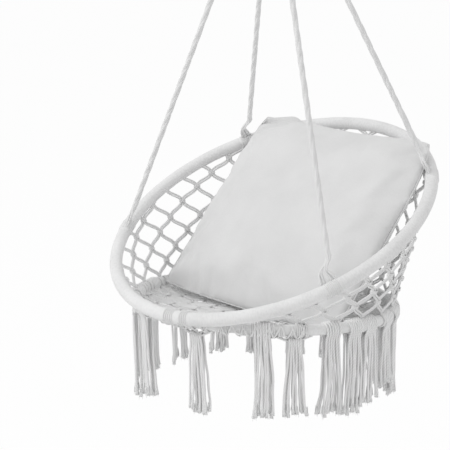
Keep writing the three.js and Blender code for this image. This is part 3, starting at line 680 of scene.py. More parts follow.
# a knot at each crossing: turns of cord round the cords that meet there
for (column, row), (degrees, height) in netNodes.items():
    middle = netPoint(degrees, height)
    if row == 0 or height > netHeight(degrees) or ringDistance(hoop, middle) < hoop["cover"] + 5:
        continue
    outward = unit(netPoint(degrees, height, 1.0) - middle)
    rise = unit(netPoint(degrees, height + 1) - middle)
    beside = unit(np.cross(rise, outward))
    wide = sideNet["knotWide"] * netRandom.uniform(0.94, 1.08)
    share = np.linspace(0, 1, 43)
    angle = fullTurn * (sideNet["knotTurns"] * share + netRandom.random())
    waist = 1 + 0.16 * np.sin(math.pi * share)
    coil = (
        middle
        + beside * (wide * waist * np.cos(angle))[:, None]
        + outward * (sideNet["knotDeep"] * waist * np.sin(angle))[:, None]
        + rise * (sideNet["knotTall"] * (share - 0.5))[:, None]
    )
    addTube(knotPile, coil, sideNet["knotCord"], 8)

# cord turns on the seat ring, from which the net goes up; the front right is tied more thickly
ringKnots = {"turns": 4, "cord": 1.9, "pitch": 3.9}
wrapReach = seat["cover"] + ringKnots["cord"]
wrapPlaces = [15 * k for k in range(24)]
wrapPlaces += [37.5, 52.5, 41, 48.5]
wrapPlaces += [7.5 * k for k in range(19, 31, 2)] + [3.75 * k for k in range(37, 49, 2)]
for degrees in wrapPlaces:
    between = degrees % 15 > 0  # between the columns, with a turn less and pulled tighter
    turns, reach = ringKnots["turns"] - between, wrapReach - 0.15 * between
    path = wrapPath(seat, degrees, turns, reach, ringKnots["pitch"], start=0.25)
    addTube(knotPile, path, ringKnots["cord"], 8)

# slanting hitches on the outside of the ring, closest at the front right
hitches = {"from": 30, "to": 112, "step": 2.3, "cord": 1.9, "turn": 0.36, "slant": 16}
for k in range(round((hitches["to"] - hitches["from"]) / hitches["step"])):
    degrees = hitches["from"] + hitches["step"] * (k + netRandom.uniform(-0.2, 0.2))
    if degrees > 62 and k % 3 == 0:
        continue
    slant = hitches["slant"] * (1 if k % 2 else -1) * netRandom.uniform(0.7, 1.2)
    turns = hitches["turn"] * netRandom.uniform(0.85, 1.15)
    share = np.linspace(0, 1, 9)
    angle = fullTurn * (turns * (share - 0.5) - 0.06)
    reach = wrapReach + 1.6 + 1.3 * np.sin(math.pi * share)
    run = degrees + np.degrees(slant / seat["radius"]) * (share - 0.5)
    line = ringPoint(seat, run, reach * np.cos(angle), reach * np.sin(angle))
    addTube(knotPile, line, hitches["cord"], 8)

# where the ring comes close under the hoop it is tied up to it with a fan of turns
hoopTies = {"places": [(77, 4, 5.2), (83, 5, 5.6)], "cord": 1.7}
for degrees, turns, pitch in hoopTies["places"]:
    reach = hoop["cover"] + 0.6
    addTube(knotPile, wrapPath(hoop, degrees, turns, reach, pitch), hoopTies["cord"], 8)
settleCords(cordPile, "side_net_cords", netCotton, "side_net")
settleCords(knotPile, "side_net_knots", netCotton, "side_net")
print("stage: side net")


# Seat net: long diamonds whose sides are fans of fine cords, gathered at the knots, sagging in
# the middle. It is made in the seat ring's own plane.
seatNet = {
    "halfLong": 56,
    "halfWide": 28,
    "sag": 32,
    "fullness": 2.5,
    "cord": 1.8,
    "cords": 8,
    "spread": 6.6,  # between neighbours, halfway from knot to knot
    "gather": 2.2,
    "uneven": 0.7,
    "hemInside": 6,  # where the cords end, inside the ring's middle line
    "over": 2.1,  # how far one way's cords lie over the other's
    "knotCord": 1.7,
    "knotSize": (9.5, 7.2, 4.8),
    "knotTurns": 2.5,
    "tieStep": 3.4,  # degrees between the places where cords are tied to the ring
}


def seatPoint(x, y):
    share = np.minimum((x**2 + y**2) / seat["radius"] ** 2, 1)
    return np.stack(np.broadcast_arrays(x, y, -seatNet["sag"] * (1 - share ** seatNet["fullness"])), -1)


cordPiles, knotPile = {-1: newPile(), 1: newPile()}, newPile()
seatRandom = random.Random(77)
tiedPlaces = set()
seatReach = seat["radius"] - seatNet["hemInside"]
t = np.linspace(0, 1, 8)
middleRank = (seatNet["cords"] - 1) / 2
fan = seatNet["gather"] + (seatNet["spread"] - seatNet["gather"]) * np.sin(math.pi * t) ** 0.8
crossings = ((row, column) for row in range(-12, 13) for column in range(-7, 8))
for row, column in crossings:
    if (row + column) % 2:
        continue
    x, y = column * seatNet["halfLong"], row * seatNet["halfWide"]
    for way in (-1, 1):
        runX, runY = way * seatNet["halfLong"], seatNet["halfWide"]
        spots = np.hypot(x + runX * t, y + runY * t)
        if spots.min() >= seatReach - 4:
            continue
        if spots.max() > seatReach:
            edge = t[np.argmin(np.abs(spots - seatReach))]
            degrees = math.degrees(math.atan2(-(y + runY * edge), x + runX * edge))
            tiedPlaces.add(round(degrees / seatNet["tieStep"]) * seatNet["tieStep"])
        length = math.hypot(runX, runY)
        for k in range(seatNet["cords"]):
            uneven = seatRandom.uniform(-seatNet["uneven"], seatNet["uneven"])
            shift = (k - middleRank) * fan + uneven * np.sin(math.pi * t)
            xs, ys = x + runX * t - runY / length * shift, y + runY * t + runX / length * shift
            keep = np.hypot(xs, ys) < seatReach
            if keep.sum() < 2:
                continue
            line = seatPoint(xs[keep], ys[keep])
            line[:, 2] += (seatNet["over"] if way > 0 else 0) + seatRandom.uniform(-1.5, 1.5)
            addTube(cordPiles[way], placed(seat, line), seatNet["cord"], 6)
    if math.hypot(x, y) < seat["radius"] - seat["cover"] - 10:
        share = np.linspace(0, 1, 33)
        angle = fullTurn * (seatNet["knotTurns"] * share + seatRandom.random())
        long, wide, deep = seatNet["knotSize"]
        coil = np.stack((long * (share - 0.5), wide * np.cos(angle), deep * np.sin(angle)), -1)
        middle = seatPoint(np.float64(x), np.float64(y)) + (0, 0, 1)
        addTube(knotPile, placed(seat, middle + coil), seatNet["knotCord"], 8)
for degrees in sorted(tiedPlaces):
    if min(abs((degrees - taken + 180) % 360 - 180) for taken in wrapPlaces) > 2.4:
        addTube(knotPile, wrapPath(seat, degrees, 2, wrapReach - 0.1, 3.8, start=0.5), ringKnots["cord"], 8)
for way, side in ((-1, "left"), (1, "right")):
    settleCords(cordPiles[way], "seat_net_cords_" + side, netCotton, "seat_net")
settleCords(knotPile, "seat_net_knots", netCotton, "seat_net")
print("stage: seat net")


# Tassels: each is six cords doubled over the ring, or over a slack V of cord under it, whose
# twelve ends hang plumb and are combed out at the foot
tassels = {
    "angles": [139, 128, 105, 73, 45, 32, 16, 5, 356, 342, 331, 158, 178, 201, 219, 239, 257, 276, 292, 307],
    "lengthShares": [
        0.88, 1, 0.85, 0.865, 0.845, 0.815, 0.81, 0.835, 0.76, 0.65,
        0.765, 0.915, 0.905, 0.85, 0.88, 0.87, 0.885, 0.91, 0.955, 0.935,
    ],
    "longest": 240,
    "cords": 6,
    "cord": 2.65,
    "topHalf": 15.5,
    "footHalf": 22,
    "slim": {0: 0.75, 1: 0.7, 2: 0.7, 11: 0.7},  # those at the left are narrower
    "footDeep": 10,
    "stations": (0, 0.12, 0.3, 0.5, 0.7, 0.88, 1),  # down each end
    "strayShare": 0.22,
    "fray": 26,
    "frayReach": 4.1,
    "wisps": 4,
    "wisp": 0.55,
    "wispPoints": ((2.2, 0, 20), (0, 0.8, 8)),  # out, out as a share of its flare, and up
    "swagDrops": {1: 24, 3: 14, 5: 10},
    "swagSpread": 7.5,
    "swagCord": 2.2,
    "swagLift": 2.4,
}


def tasselPile(index):
    degrees = tassels["angles"][index]
    length = tassels["longest"] * tassels["lengthShares"][index]
    chance = random.Random(500 + index)
    drop = tassels["swagDrops"].get(index, 0)
    anchor = ringPoint(seat, degrees)
    around = unit(ringWay(seat, degrees) * (1, 1, 0))
    outward = np.array((-around[1], around[0], 0))
    outward = outward * (1 if outward.dot(anchor) > 0 else -1)
    pile = newPile()

    def plumb(points):
        points = np.asarray(points, float)
        local = around * points[:, :1] + outward * points[:, 1:2] + (0, 0, 1) * points[:, 2:3]
        return anchor + turnX(local, -chairTip)

    sway, swayStart = chance.uniform(2, 4.5), chance.uniform(0, fullTurn)
    spread = math.radians(tassels["swagSpread"]) * seat["radius"]
    if drop:
        for lift in (-tassels["swagLift"], tassels["swagLift"]):
            rope = []
            for way in (-1, 1):
                foot = ringPoint(seat, degrees + way * tassels["swagSpread"]) - anchor
                over = [foot.dot(around), foot.dot(outward) + lift, foot[2] - seat["cover"] - 1]
                rope.append([over, [way * spread * 0.45, lift, -seat["cover"] - 3 - drop * 0.62]])
            low = [0, lift, -seat["cover"] - 4 - drop]
            line = [rope[0][0], rope[0][1], low, rope[1][1], rope[1][0]]
            addTube(pile, smoothPath(plumb(line), 3), tassels["swagCord"], 8)
    slim = tassels["slim"].get(index, 1)
    for rank in np.linspace(-1, 1, tassels["cords"]).tolist():
        slide = rank * tassels["topHalf"] * (0.8 if drop else slim)
        over = tassels["cord"] + (tassels["swagCord"] + tassels["swagLift"] if drop else seat["cover"] + 0.2)
        top = -seat["cover"] - 4 - drop + abs(slide) * drop * 0.75 / spread if drop else 0.0
        ends = []
        for side in (1, -1):
            tip = -length + chance.uniform(-5, 8)
            strays = chance.random() < tassels["strayShare"]
            stray = chance.uniform(-14, 14) if strays else 0
            foot = rank * tassels["footHalf"] * slim + chance.uniform(-3.5, 3.5)
            deep = side * (tassels["footDeep"] * chance.uniform(0.35, 1))
            start = top - (6 if drop else 22)
            hold = side * (over * 0.85 if drop else 8.5)
            end = []
            for share in tassels["stations"]:
                swing = sway * math.sin(1.3 * math.pi * share + swayStart) * share
                wander = chance.uniform(-1.5, 1.5) * (share > 0) + swing
                x = slide + (foot - slide) * share**0.8 + stray * share**2 + wander
                y = hold + (deep - hold) * min(1, share * 1.7) + chance.uniform(-0.9, 0.9) * (share > 0)
                end.append([x, y, start + (tip - start) * share])
            ends.append(end)
        low = top - (1 if drop else 5)
        arc = np.radians((20, 55, 90, 125, 160))
        bight = [[slide, over * math.cos(a), top + over * math.sin(a)] for a in arc]
        bight = [[slide, over, low]] + bight + [[slide, -over, low]]
        line = smoothPath(plumb(ends[0][::-1] + bight + ends[1]), 8)
        walked = walkedAlong(line)
        toEnd = np.minimum(walked, walked[-1] - walked)
        comb = np.clip(1 - toEnd / tassels["fray"], 0, 1) ** 1.3
        sides = np.arange(10) * fullTurn / 10
        rib = 1 + 0.17 * comb[:, None] * np.cos(5 * sides)[None]
        reach = (tassels["cord"] + (tassels["frayReach"] - tassels["cord"]) * comb)[:, None] * rib
        addTube(pile, line, reach, 10)
        for end in ends:
            x, y, z = end[-1]
            for w in range(tassels["wisps"]):
                angle = fullTurn * (w + chance.random()) / tassels["wisps"]
                flare = chance.uniform(3.4, 6.2)
                wisp = []
                for out, outShare, rise in tassels["wispPoints"] + ((0, 1, chance.uniform(-6, 3)),):
                    out += outShare * flare
                    wisp.append([x + out * math.cos(angle), y + out * math.sin(angle), z + rise])
                addTube(pile, plumb(wisp), np.array((1.3, 1.1, 0.7)) * tassels["wisp"], 4)
    return pile


for index in range(len(tassels["angles"])):
    node = f"tassel_{index + 1}"
    settleCords(tasselPile(index), node + "_cords", tasselCotton, node)
print("stage: tassels")


# Cushion: two canvas panels sewn edge to edge, filled and wedged into the bowl
cushion = {
    "halfWide": 300,
    "halfTall": 280,
    "crown": 73.4,
    "lean": 48.0,
    "middle": (5.3, 126.2, 169.6),
    "draw": 0.076,
    "drawRight": 0.03,  # the right edge is pressed out against the hoop
    "topCorner": 0.12,
    "lowCorner": 0.065,
    "wrap": 29,
    "steps": 60,
    "flatWide": 300,  # half the size that the panels are cut to
    "flatTall": 283,
    "panelScale": (0.3, 0.28),  # half the panels' UV size, in metres
    "cap": 19.2,  # how far the simulation may move a point
    "frames": 20,
    "insertSteps": 28,
    "insertInset": 20,
    "clear": 1.2,  # from the windings
    "netClear": 8.6,
    "keepLow": 0.12,  # share of the simulation's slow changes that stays
    "seam": 1.5,
    "cloth": {
        "quality": 6,
        "mass": 0.25,
        "tension_stiffness": 22,
        "compression_stiffness": 22,
        "shear_stiffness": 8,
        "bending_stiffness": 0.35,
        "use_pressure": True,
        "uniform_pressure_force": 4,
    },
    # soft folds on the front panel: from, to, how deep and how wide; places run from -1 to 1
    "folds": [
        (-0.97, 0.9, -0.62, 0.95, -15, 0.045),
        (-0.86, 0.74, -0.6, 0.93, -13, 0.045),
        (-0.72, -0.97, -0.8, -0.58, -16, 0.042),
        (-0.6, -0.98, -0.66, -0.66, -13, 0.045),
        (-0.46, -0.98, -0.47, -0.74, -10, 0.045),
        (-0.97, -0.74, -0.78, -0.5, -12, 0.055),
        (-0.97, -0.5, -0.84, -0.34, -10, 0.045),
        (0.2, -0.98, 0.14, -0.66, -9, 0.055),
        (0.93, 0.9, 0.7, 0.68, -12, 0.055),
        (0.97, 0.35, 0.74, 0.28, -9, 0.055),
        (0.97, -0.3, 0.8, -0.2, -5, 0.05),
        (-0.98, 0.2, -0.8, 0.14, -5, 0.05),
        (-0.1, 0.98, -0.06, 0.76, -5, 0.06),
    ],
    # the back panel bulges over the seam near the top left corner: place, width, how far
    "bulge": (-0.74, 0.2, 46),
    "seamDip": 7,
    "liftKeep": 0.92,  # share of its width that it keeps as it passes the ropes
    "puckers": (2.2, 27, 0.1),  # height, number on a side, and how far in from the seam
}


def cushionGrid(steps):
    even = np.linspace(-1, 1, steps + 1)
    return 0.55 * np.sin(even * math.pi / 2) + 0.45 * even


def cushionShape(u, v, way, inset):
    wide, tall = cushion["halfWide"] - inset, cushion["halfTall"] - inset
    corner = 1 - np.where(v > 0, cushion["topCorner"], cushion["lowCorner"]) * np.abs(u * v) ** 3
    drawn = np.where(u > 0, cushion["drawRight"], cushion["draw"])
    x = wide * u * corner * (1 - drawn * (1 - v * v))
    y = tall * v * corner * (1 - cushion["draw"] * (1 - u * u))
    swell = np.sqrt(np.maximum((1 - u * u) * (1 - v * v), 0))
    z = way * (cushion["crown"] - inset) * swell + cushion["wrap"] * u * u
    return np.stack((x, y, z), -1)


def placeCushion(points):
    return turnX(points, cushion["lean"]) + cushion["middle"]


# The two panels as one closed mesh: faces, the grid places of its points, and its panel UVs
def cushionMesh(steps):
    grid = cushionGrid(steps)
    index = np.arange((steps + 1) ** 2).reshape(steps + 1, steps + 1)
    behind = index.copy()
    behind[1:-1, 1:-1] = (steps + 1) ** 2 + np.arange((steps - 1) ** 2).reshape(steps - 1, steps - 1)
    faces, uvs = [], []
    for panel, way in ((index, 1), (behind, -1)):
        for i in range(steps):
            for j in range(steps):
                around = [(i, j), (i + 1, j), (i + 1, j + 1), (i, j + 1)][::way]
                faces.append([int(panel[k]) for k in around])
                wide, tall = cushion["panelScale"]
                uvs += [(wide * grid[a] + (way < 0), tall * grid[b]) for a, b in around]
    return grid, index, behind, faces, np.array(uvs)


# Relief that sewing and sitting leave in a panel: soft folds, and small puckers along the seam
def panelRelief(u, v):
    height = np.zeros_like(u)
    for fromU, fromV, toU, toV, deep, wide in cushion["folds"]:
        runU, runV = toU - fromU, toV - fromV
        share = np.clip(((u - fromU) * runU + (v - fromV) * runV) / (runU**2 + runV**2), 0, 1)
        away = np.hypot(u - fromU - runU * share, v - fromV - runV * share)
        height += deep * np.exp(-((away / wide) ** 2)) * (1 - share) ** 0.5
    tall, number, reach = cushion["puckers"]
    for across, along in ((u, v), (v, u)):
        near = np.exp(-(1 - np.abs(across)) / reach)
        wave = np.sin(number * along * math.pi / 2 + 2 * np.sin(5 * along))
        height += tall * near * (wave + 0.6 * np.sin(11 * along + 3 * across))
    return height


# Folds both panels, and lets the back one bulge over the seam
def folded(points, u, v, index, behind):
    relief = panelRelief(u, v)
    inner = (slice(1, -1), slice(1, -1))
    points[index[inner], 2] += relief[inner]
    points[behind[inner], 2] -= 0.5 * relief[::-1][inner]
    place, width, rise = cushion["bulge"]
    near = np.exp(-(((u - place) / width) ** 2))
    over = np.clip((v - 0.5) / 0.4, 0, 1) * np.clip((1 - v) / 0.1, 0, 1)
    points[behind[inner], 1] += (rise * near * over)[inner]
    points[index, 1] -= cushion["seamDip"] * near * np.clip((v - 0.7) / 0.3, 0, 1)
    return points


# The outer form of a cushion drawn in by this much, on its grid
def cushionPanels(steps, inset=0.0):
    grid, index, behind, faces, uvs = cushionMesh(steps)
    u, v = np.meshgrid(grid, grid, indexing="ij")
    points = np.zeros((behind.max() + 1, 3))
    for panel, way in ((behind, -1), (index, 1)):
        points[panel] = cushionShape(u, v, way, inset)
    return points, (u, v, index, behind), faces, uvs


def settledCushion():
    start, (u, v, index, behind), faces, uvs = cushionPanels(cushion["steps"])
    flat = np.zeros_like(start)
    for panel in (behind, index):
        flat[panel] = np.stack((u * cushion["flatWide"], v * cushion["flatTall"], 0 * u), -1)
    shaped = start
    piece = meshObject("cushion_cover_cloth", start / 1000, faces, uvs)
    piece.shape_key_add(name="filled")
    cut = piece.shape_key_add(name="cut")
    cut.data.foreach_set("co", (flat / 1000).astype(np.float32).ravel())
    cloth = piece.modifiers.new("Cloth", "CLOTH")
    cloth.settings.rest_shape_key = cut
    for name, value in cushion["cloth"].items():
        setattr(cloth.settings, name, value)
    cloth.settings.effector_weights.gravity = 0
    cloth.point_cache.frame_end = cushion["frames"] + 2
    for step in range(1, cushion["frames"] + 1):
        bpy.context.scene.frame_set(step)
    graph = bpy.context.evaluated_depsgraph_get()
    puffed = np.zeros(start.size, np.float32)
    piece.evaluated_get(graph).data.vertices.foreach_get("co", puffed)
    bpy.data.objects.remove(piece)
    bpy.context.scene.frame_set(1)
    shaped = puffed.reshape(-1, 3).astype(float) * 1000
    # keep the simulation's creases, and only part of its slow drift from the wedged shape
    moved = shaped - start
    moved *= np.minimum(1, cushion["cap"] / np.maximum(np.linalg.norm(moved, axis=1), 1e-6))[:, None]
    slow = moved.copy()
    for _ in range(40):
        for panel in (index, behind):
            field = slow[panel]
            beside = field[:-2, 1:-1] + field[2:, 1:-1] + field[1:-1, :-2] + field[1:-1, 2:]
            field[1:-1, 1:-1] = beside / 4
            slow[panel] = field
    creases = moved - slow
    print(f"cushion: creases up to {np.abs(creases).max():.1f} mm")
    points = placeCushion(folded(start + cushion["keepLow"] * slow + creases, u, v, index, behind))
    # stay clear of the hoop's winding and of the ring's
    for ring in (hoop, seat):
        least = ring["cover"] + cushion["clear"]
        flatPoints = unplaced(ring, points)
        reach = np.hypot(flatPoints[:, 0], flatPoints[:, 1])
        gap = np.stack((reach - ring["radius"], flatPoints[:, 2]), -1)
        size = np.maximum(np.linalg.norm(gap, axis=1), 1e-6)
        push = np.where(size < least, least / size, 1)[:, None] * gap
        flatPoints[:, 0] *= (ring["radius"] + push[:, 0]) / reach
        flatPoints[:, 1] *= (ring["radius"] + push[:, 0]) / reach
        flatPoints[:, 2] = push[:, 1]
        points = placed(ring, flatPoints)
    # rest on the seat net, not in it
    flatPoints = unplaced(seat, points)
    floorAt = seatPoint(flatPoints[:, 0], flatPoints[:, 1])[:, 2] + cushion["netClear"]
    within = np.hypot(flatPoints[:, 0], flatPoints[:, 1]) < seat["radius"]
    flatPoints[:, 2] = np.where(within, np.maximum(flatPoints[:, 2], floorAt), flatPoints[:, 2])
    return placed(seat, flatPoints), faces, uvs


points, faces, uvs = settledCushion()
last = cushion["steps"]
rim = [(i, 0) for i in range(last)] + [(last, j) for j in range(last)]
rim += [(last - i, last - j) for i, j in rim]
cover = meshObject("cushion_cover_cloth", toRow(points), faces, uvs)
smoother = cover.modifiers.new("rounded", "SUBSURF")
smoother.levels = smoother.render_levels = 1
selectOnly(cover)
bpy.ops.object.modifier_apply(modifier="rounded")
settle(cover, "cushion", cushionCloth, "cushion_cloth", "cushion_cover")
pile = newPile()
addTube(pile, points[[i * (last + 1) + j for i, j in rim]], cushion["seam"], 8, closed=True)
seam = pileObject(pile, "cushion_seam")
settle(seam, "cushion", cushionCloth, "cushion_cloth", "cushion_cover")
print("stage: cushion cover")

inner, places, faces, uvs = cushionPanels(cushion["insertSteps"], cushion["insertInset"])
insert = meshObject("cushion_insert_wadding", toRow(placeCushion(folded(inner, *places))), faces, uvs)
settle(insert, "cushion", wadding, "wadding", "cushion_insert")

# The cushion's middle in the row frame, and a mesh of its own for each cushion piece
middle = toRow(placeCushion(np.zeros((1, 3))))[0]
for piece in (cover, seam, insert):
    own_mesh(piece)
print("stage: cushion insert")


# Metal gear. Each piece starts as a primitive, is shaped in edit mode and has its place in its mesh.
# Lengths are given in millimetres and nothing is selected between pieces.
def openPiece(name):
    piece = bpy.context.object
    bpy.ops.object.transform_apply(location=True, rotation=True, scale=True)
    piece.name = piece.data.name = name
    bpy.ops.object.mode_set(mode="EDIT")
    return piece


# Selects corners, edges or faces by the place of their middle
def pick(piece, kind, test):
    bpy.ops.mesh.select_mode(type=kind)
    bpy.ops.mesh.select_all(action="DESELECT")
    shape = bmesh.from_edit_mesh(piece.data)
    for part in {"VERT": shape.verts, "EDGE": shape.edges, "FACE": shape.faces}[kind]:
        corners = [part] if kind == "VERT" else list(part.verts)
        middle = sum((corner.co for corner in corners), Vector()) / len(corners) * 1000
        if test(middle):
            part.select_set(True)
    shape.select_flush_mode()
    bmesh.update_edit_mesh(piece.data)


# Extrudes, resizes or moves what is selected, and bends it about an axis across the wire
def pull(*way):
    bpy.ops.mesh.extrude_region_move(TRANSFORM_OT_translate={"value": Vector(way) / 1000})


def resize(value, centre=(0, 0, 0)):
    bpy.ops.transform.resize(value=value, center_override=Vector(centre) / 1000)


def move(*way):
    bpy.ops.transform.translate(value=Vector(way) / 1000)


def bend(steps, angle, height):
    bpy.ops.mesh.spin(steps=steps, angle=angle, center=(0, 0, height / 1000), axis=(0, 1, 0))


def closePiece(angle=35):
    bpy.ops.mesh.select_all(action="SELECT")
    bpy.ops.mesh.remove_doubles(threshold=1e-6)
    bpy.ops.mesh.normals_make_consistent(inside=False)
    bpy.ops.object.mode_set(mode="OBJECT")
    bpy.ops.object.shade_smooth_by_angle(angle=math.radians(angle))
    bpy.ops.object.select_all(action="DESELECT")


# Cuts the active object away from the piece
def cutAway(piece):
    cutter = bpy.context.object
    cut = piece.modifiers.new("cut", "BOOLEAN")
    cut.object = cutter
    cut.solver = "EXACT"
    selectOnly(piece)
    bpy.ops.object.modifier_apply(modifier="cut")
    bpy.data.objects.remove(cutter)
    bpy.ops.object.select_all(action="DESELECT")


def copyPiece(piece, name, place):
    copy = piece.copy()
    copy.data = piece.data.copy()
    copy.name = copy.data.name = name
    copy.data.transform(place)
    bpy.context.scene.collection.objects.link(copy)
    return copy


plate = {
    "radius": 39.5,
    "thick": 3,
    "holes": 30,
    "holeRadius": 3.25,
    "edge": 0.9,  # how far its lower edge is rounded
    "rim": 3.2,
    "step": 0.6,
    "recess": 0.5,
    "eyeHalf": 15,
    "eyeWire": 4,
    "eyeLeg": 5.5,
    "weld": 4.2,
    "weldWire": 1.2,
    "weldRise": -2.8,
}
plateHoles = [
    Vector((plate["holes"] * math.cos(angle), plate["holes"] * math.sin(angle), 0)) / 1000
    for angle in (fullTurn * (i + 0.5) / 4 for i in range(4))
]
bpy.ops.object.select_all(action="DESELECT")
radius, depth = plate["radius"] / 1000, plate["thick"] / 1000
bpy.ops.mesh.primitive_cylinder_add(vertices=96, radius=radius, depth=depth, location=(0, 0, -depth / 2))
piece = openPiece("ceiling_plate_disc")
pick(piece, "EDGE", lambda p: math.hypot(p.x, p.y) > 39 and p.z < -2.9)
bpy.ops.mesh.bevel(offset=plate["edge"] / 1000, segments=4)
pick(piece, "FACE", lambda p: p.z < -2.99)
bpy.ops.mesh.inset(thickness=plate["rim"] / 1000)
bpy.ops.mesh.inset(thickness=plate["step"] / 1000)
move(0, 0, plate["recess"])
closePiece()
radius = plate["holeRadius"] / 1000
for hole in plateHoles:
    bpy.ops.mesh.primitive_cylinder_add(vertices=40, radius=radius, depth=0.01, location=hole)
    cutAway(piece)
settle(piece, "ceiling_plate", polishedSteel, "polished_steel", "ceiling_plate")

# the eye: a bar bent to a U, with a weld bead at each foot
radius, foot = plate["eyeWire"] / 1000, (-plate["eyeHalf"] / 1000, 0, -0.0015)
bpy.ops.mesh.primitive_circle_add(vertices=28, radius=radius, fill_type="NGON", location=foot)
piece = openPiece("ceiling_plate_eye")
bpy.ops.mesh.select_all(action="SELECT")
pull(0, 0, -plate["eyeLeg"])
bend(40, math.pi, -7)
pull(0, 0, plate["eyeLeg"])
closePiece()
settle(piece, "ceiling_plate", polishedSteel, "polished_steel", "ceiling_plate")
for way, side in ((-1, "left"), (1, "right")):
    foot = Vector((way * plate["eyeHalf"], 0, plate["weldRise"]))
    bpy.ops.mesh.primitive_torus_add(
        major_segments=44,
        minor_segments=12,
        major_radius=plate["weld"] / 1000,
        minor_radius=plate["weldWire"] / 1000,
        location=foot / 1000,
    )
    piece = openPiece("ceiling_plate_weld_" + side)
    pick(piece, "VERT", lambda p: round(math.degrees(math.atan2(p.y, p.x - foot.x)) / 8.2) % 3 == 0)
    resize((1.05, 1.05, 1.0), foot)
    closePiece(60)
    settle(piece, "ceiling_plate", polishedSteel, "polished_steel", "ceiling_plate")
print("stage: ceiling plate")

# Round rings, bent from bar and welded at one side
rings = {
    "radius": 20.5,
    "wire": 3.0,
    "middles": {"hanging_ring": -35.15, "rope_ring": -239.35},
    "welds": ((2.4, 1.07), (1.3, 1.06)),  # half its length, and how far it swells
}
for node, middle in rings["middles"].items():
    bpy.ops.mesh.primitive_torus_add(
        major_segments=128,
        minor_segments=24,
        major_radius=rings["radius"] / 1000,
        minor_radius=rings["wire"] / 1000,
        location=(0, 0, middle / 1000),
        rotation=(0, math.pi / 2, 0),
    )
    piece = openPiece(node + "_bar")
    for half, swell in rings["welds"]:
        pick(piece, "VERT", lambda p: p.y > 0 and abs(p.z - middle) < half)
        resize((swell, swell, 1), (0, rings["radius"], middle))
    closePiece()
    settle(piece, node, polishedSteel, "polished_steel", node)
print("stage: rings")

# Chain: one link bent from wire and welded on one side, then copied
chain = {
    "bend": 5.0,
    "wire": 1.5,
    "half": 6.0,
    "first": -61.8,
    "drop": 18.65,
    "count": 6,
    "welds": ((2.2, 1.09), (1.0, 1.09)),
}
bpy.ops.mesh.primitive_torus_add(
    major_segments=40, minor_segments=16, major_radius=chain["bend"] / 1000, minor_radius=chain["wire"] / 1000
)
link = openPiece("chain_link_wire_1")
bpy.ops.mesh.select_all(action="SELECT")
bpy.ops.transform.rotate(value=math.radians(4.5), orient_axis="Z", center_override=(0, 0, 0))
for way in (-1, 1):
    pick(link, "VERT", lambda p: p.y * way > 0)
    move(0, way * chain["half"], 0)
pick(link, "EDGE", lambda p: abs(p.y) < 0.2 and p.x > 0)
bpy.ops.mesh.subdivide(number_cuts=8)
for half, swell in chain["welds"]:
    pick(link, "VERT", lambda p: p.x > 0 and abs(p.y) < half)
    resize((swell, 1, swell), (chain["bend"], 0, 0))
closePiece()
upright = Matrix.Rotation(math.pi / 2, 4, "X")
for i in range(chain["count"]):
    height = (chain["first"] - i * chain["drop"]) / 1000
    place = Matrix.Translation((0, 0, height)) @ Matrix.Rotation((i % 2) * math.pi / 2, 4, "Z") @ upright
    copy = copyPiece(link, f"chain_link_wire_{i + 1}", place)
    settle(copy, f"link_{i + 1}", zincPlated, "zinc", f"chain_link_{i + 1}")
bpy.data.objects.remove(link)
print("stage: chain")

# Wood screws: a pan head with a cross recess, a shank and a thread
screws = {
    "head": 6.0,
    "headTall": 3.6,
    "round": 1.6,
    "under": -3.35,
    "neck": 2.6,
    "neckTall": 8,
    "core": 1.95,
    "top": 58.05,
    "tip": 9.0,
    "tipShare": 0.2,
    "recess": (6.8, 1.1, 4.4),
    "ridge": 0.95,
    "ridgeOut": 1.78,
    "threadLow": 6,
    "pitch": 2.6,
    "turns": 16,
}
headLow = screws["under"] - screws["headTall"]
bpy.ops.mesh.primitive_cylinder_add(
    vertices=40,
    radius=screws["head"] / 1000,
    depth=screws["headTall"] / 1000,
    location=(0, 0, (screws["under"] - screws["headTall"] / 2) / 1000),
)
head = openPiece("ceiling_screw_pan")
pick(head, "EDGE", lambda p: p.z < headLow + 0.1 and math.hypot(p.x, p.y) > 5.5)
bpy.ops.mesh.bevel(offset=screws["round"] / 1000, segments=6)
pick(head, "FACE", lambda p: p.z > screws["under"] - 0.1 and math.hypot(p.x, p.y) < 1)
bpy.ops.mesh.inset(thickness=(screws["head"] - screws["neck"]) / 1000)
pull(0, 0, screws["neckTall"])
resize((screws["core"] / screws["neck"],) * 2 + (1,))
pull(0, 0, screws["top"] - screws["tip"] - screws["under"] - screws["neckTall"])
pull(0, 0, screws["tip"])
resize((screws["tipShare"], screws["tipShare"], 1))
closePiece()
for turnBy in (0, math.pi / 2):
    bpy.ops.mesh.primitive_cube_add(size=1, location=(0, 0, headLow / 1000))
    bpy.ops.transform.resize(value=Vector(screws["recess"]) / 1000)
    bpy.ops.object.transform_apply(location=True, rotation=True, scale=True)
    bpy.context.object.data.transform(Matrix.Rotation(turnBy, 4, "Z"))
    cutAway(head)
bpy.ops.mesh.primitive_circle_add(
    vertices=3,
    radius=screws["ridge"] / 1000,
    fill_type="NOTHING",
    location=(screws["ridgeOut"] / 1000, 0, screws["threadLow"] / 1000),
    rotation=(math.pi / 2, 0, 0),
)
thread = openPiece("ceiling_screw_thread")
bpy.ops.object.mode_set(mode="OBJECT")
winder = thread.modifiers.new("thread", "SCREW")
winder.screw_offset = screws["pitch"] / 1000
winder.iterations = screws["turns"]
winder.steps = winder.render_steps = 18
bpy.ops.object.modifier_apply(modifier="thread")
bpy.ops.object.mode_set(mode="EDIT")
bpy.ops.mesh.select_all(action="SELECT")
bpy.ops.mesh.fill_holes(sides=4)
closePiece()
selectOnly(head)
thread.select_set(True)
bpy.ops.object.join()
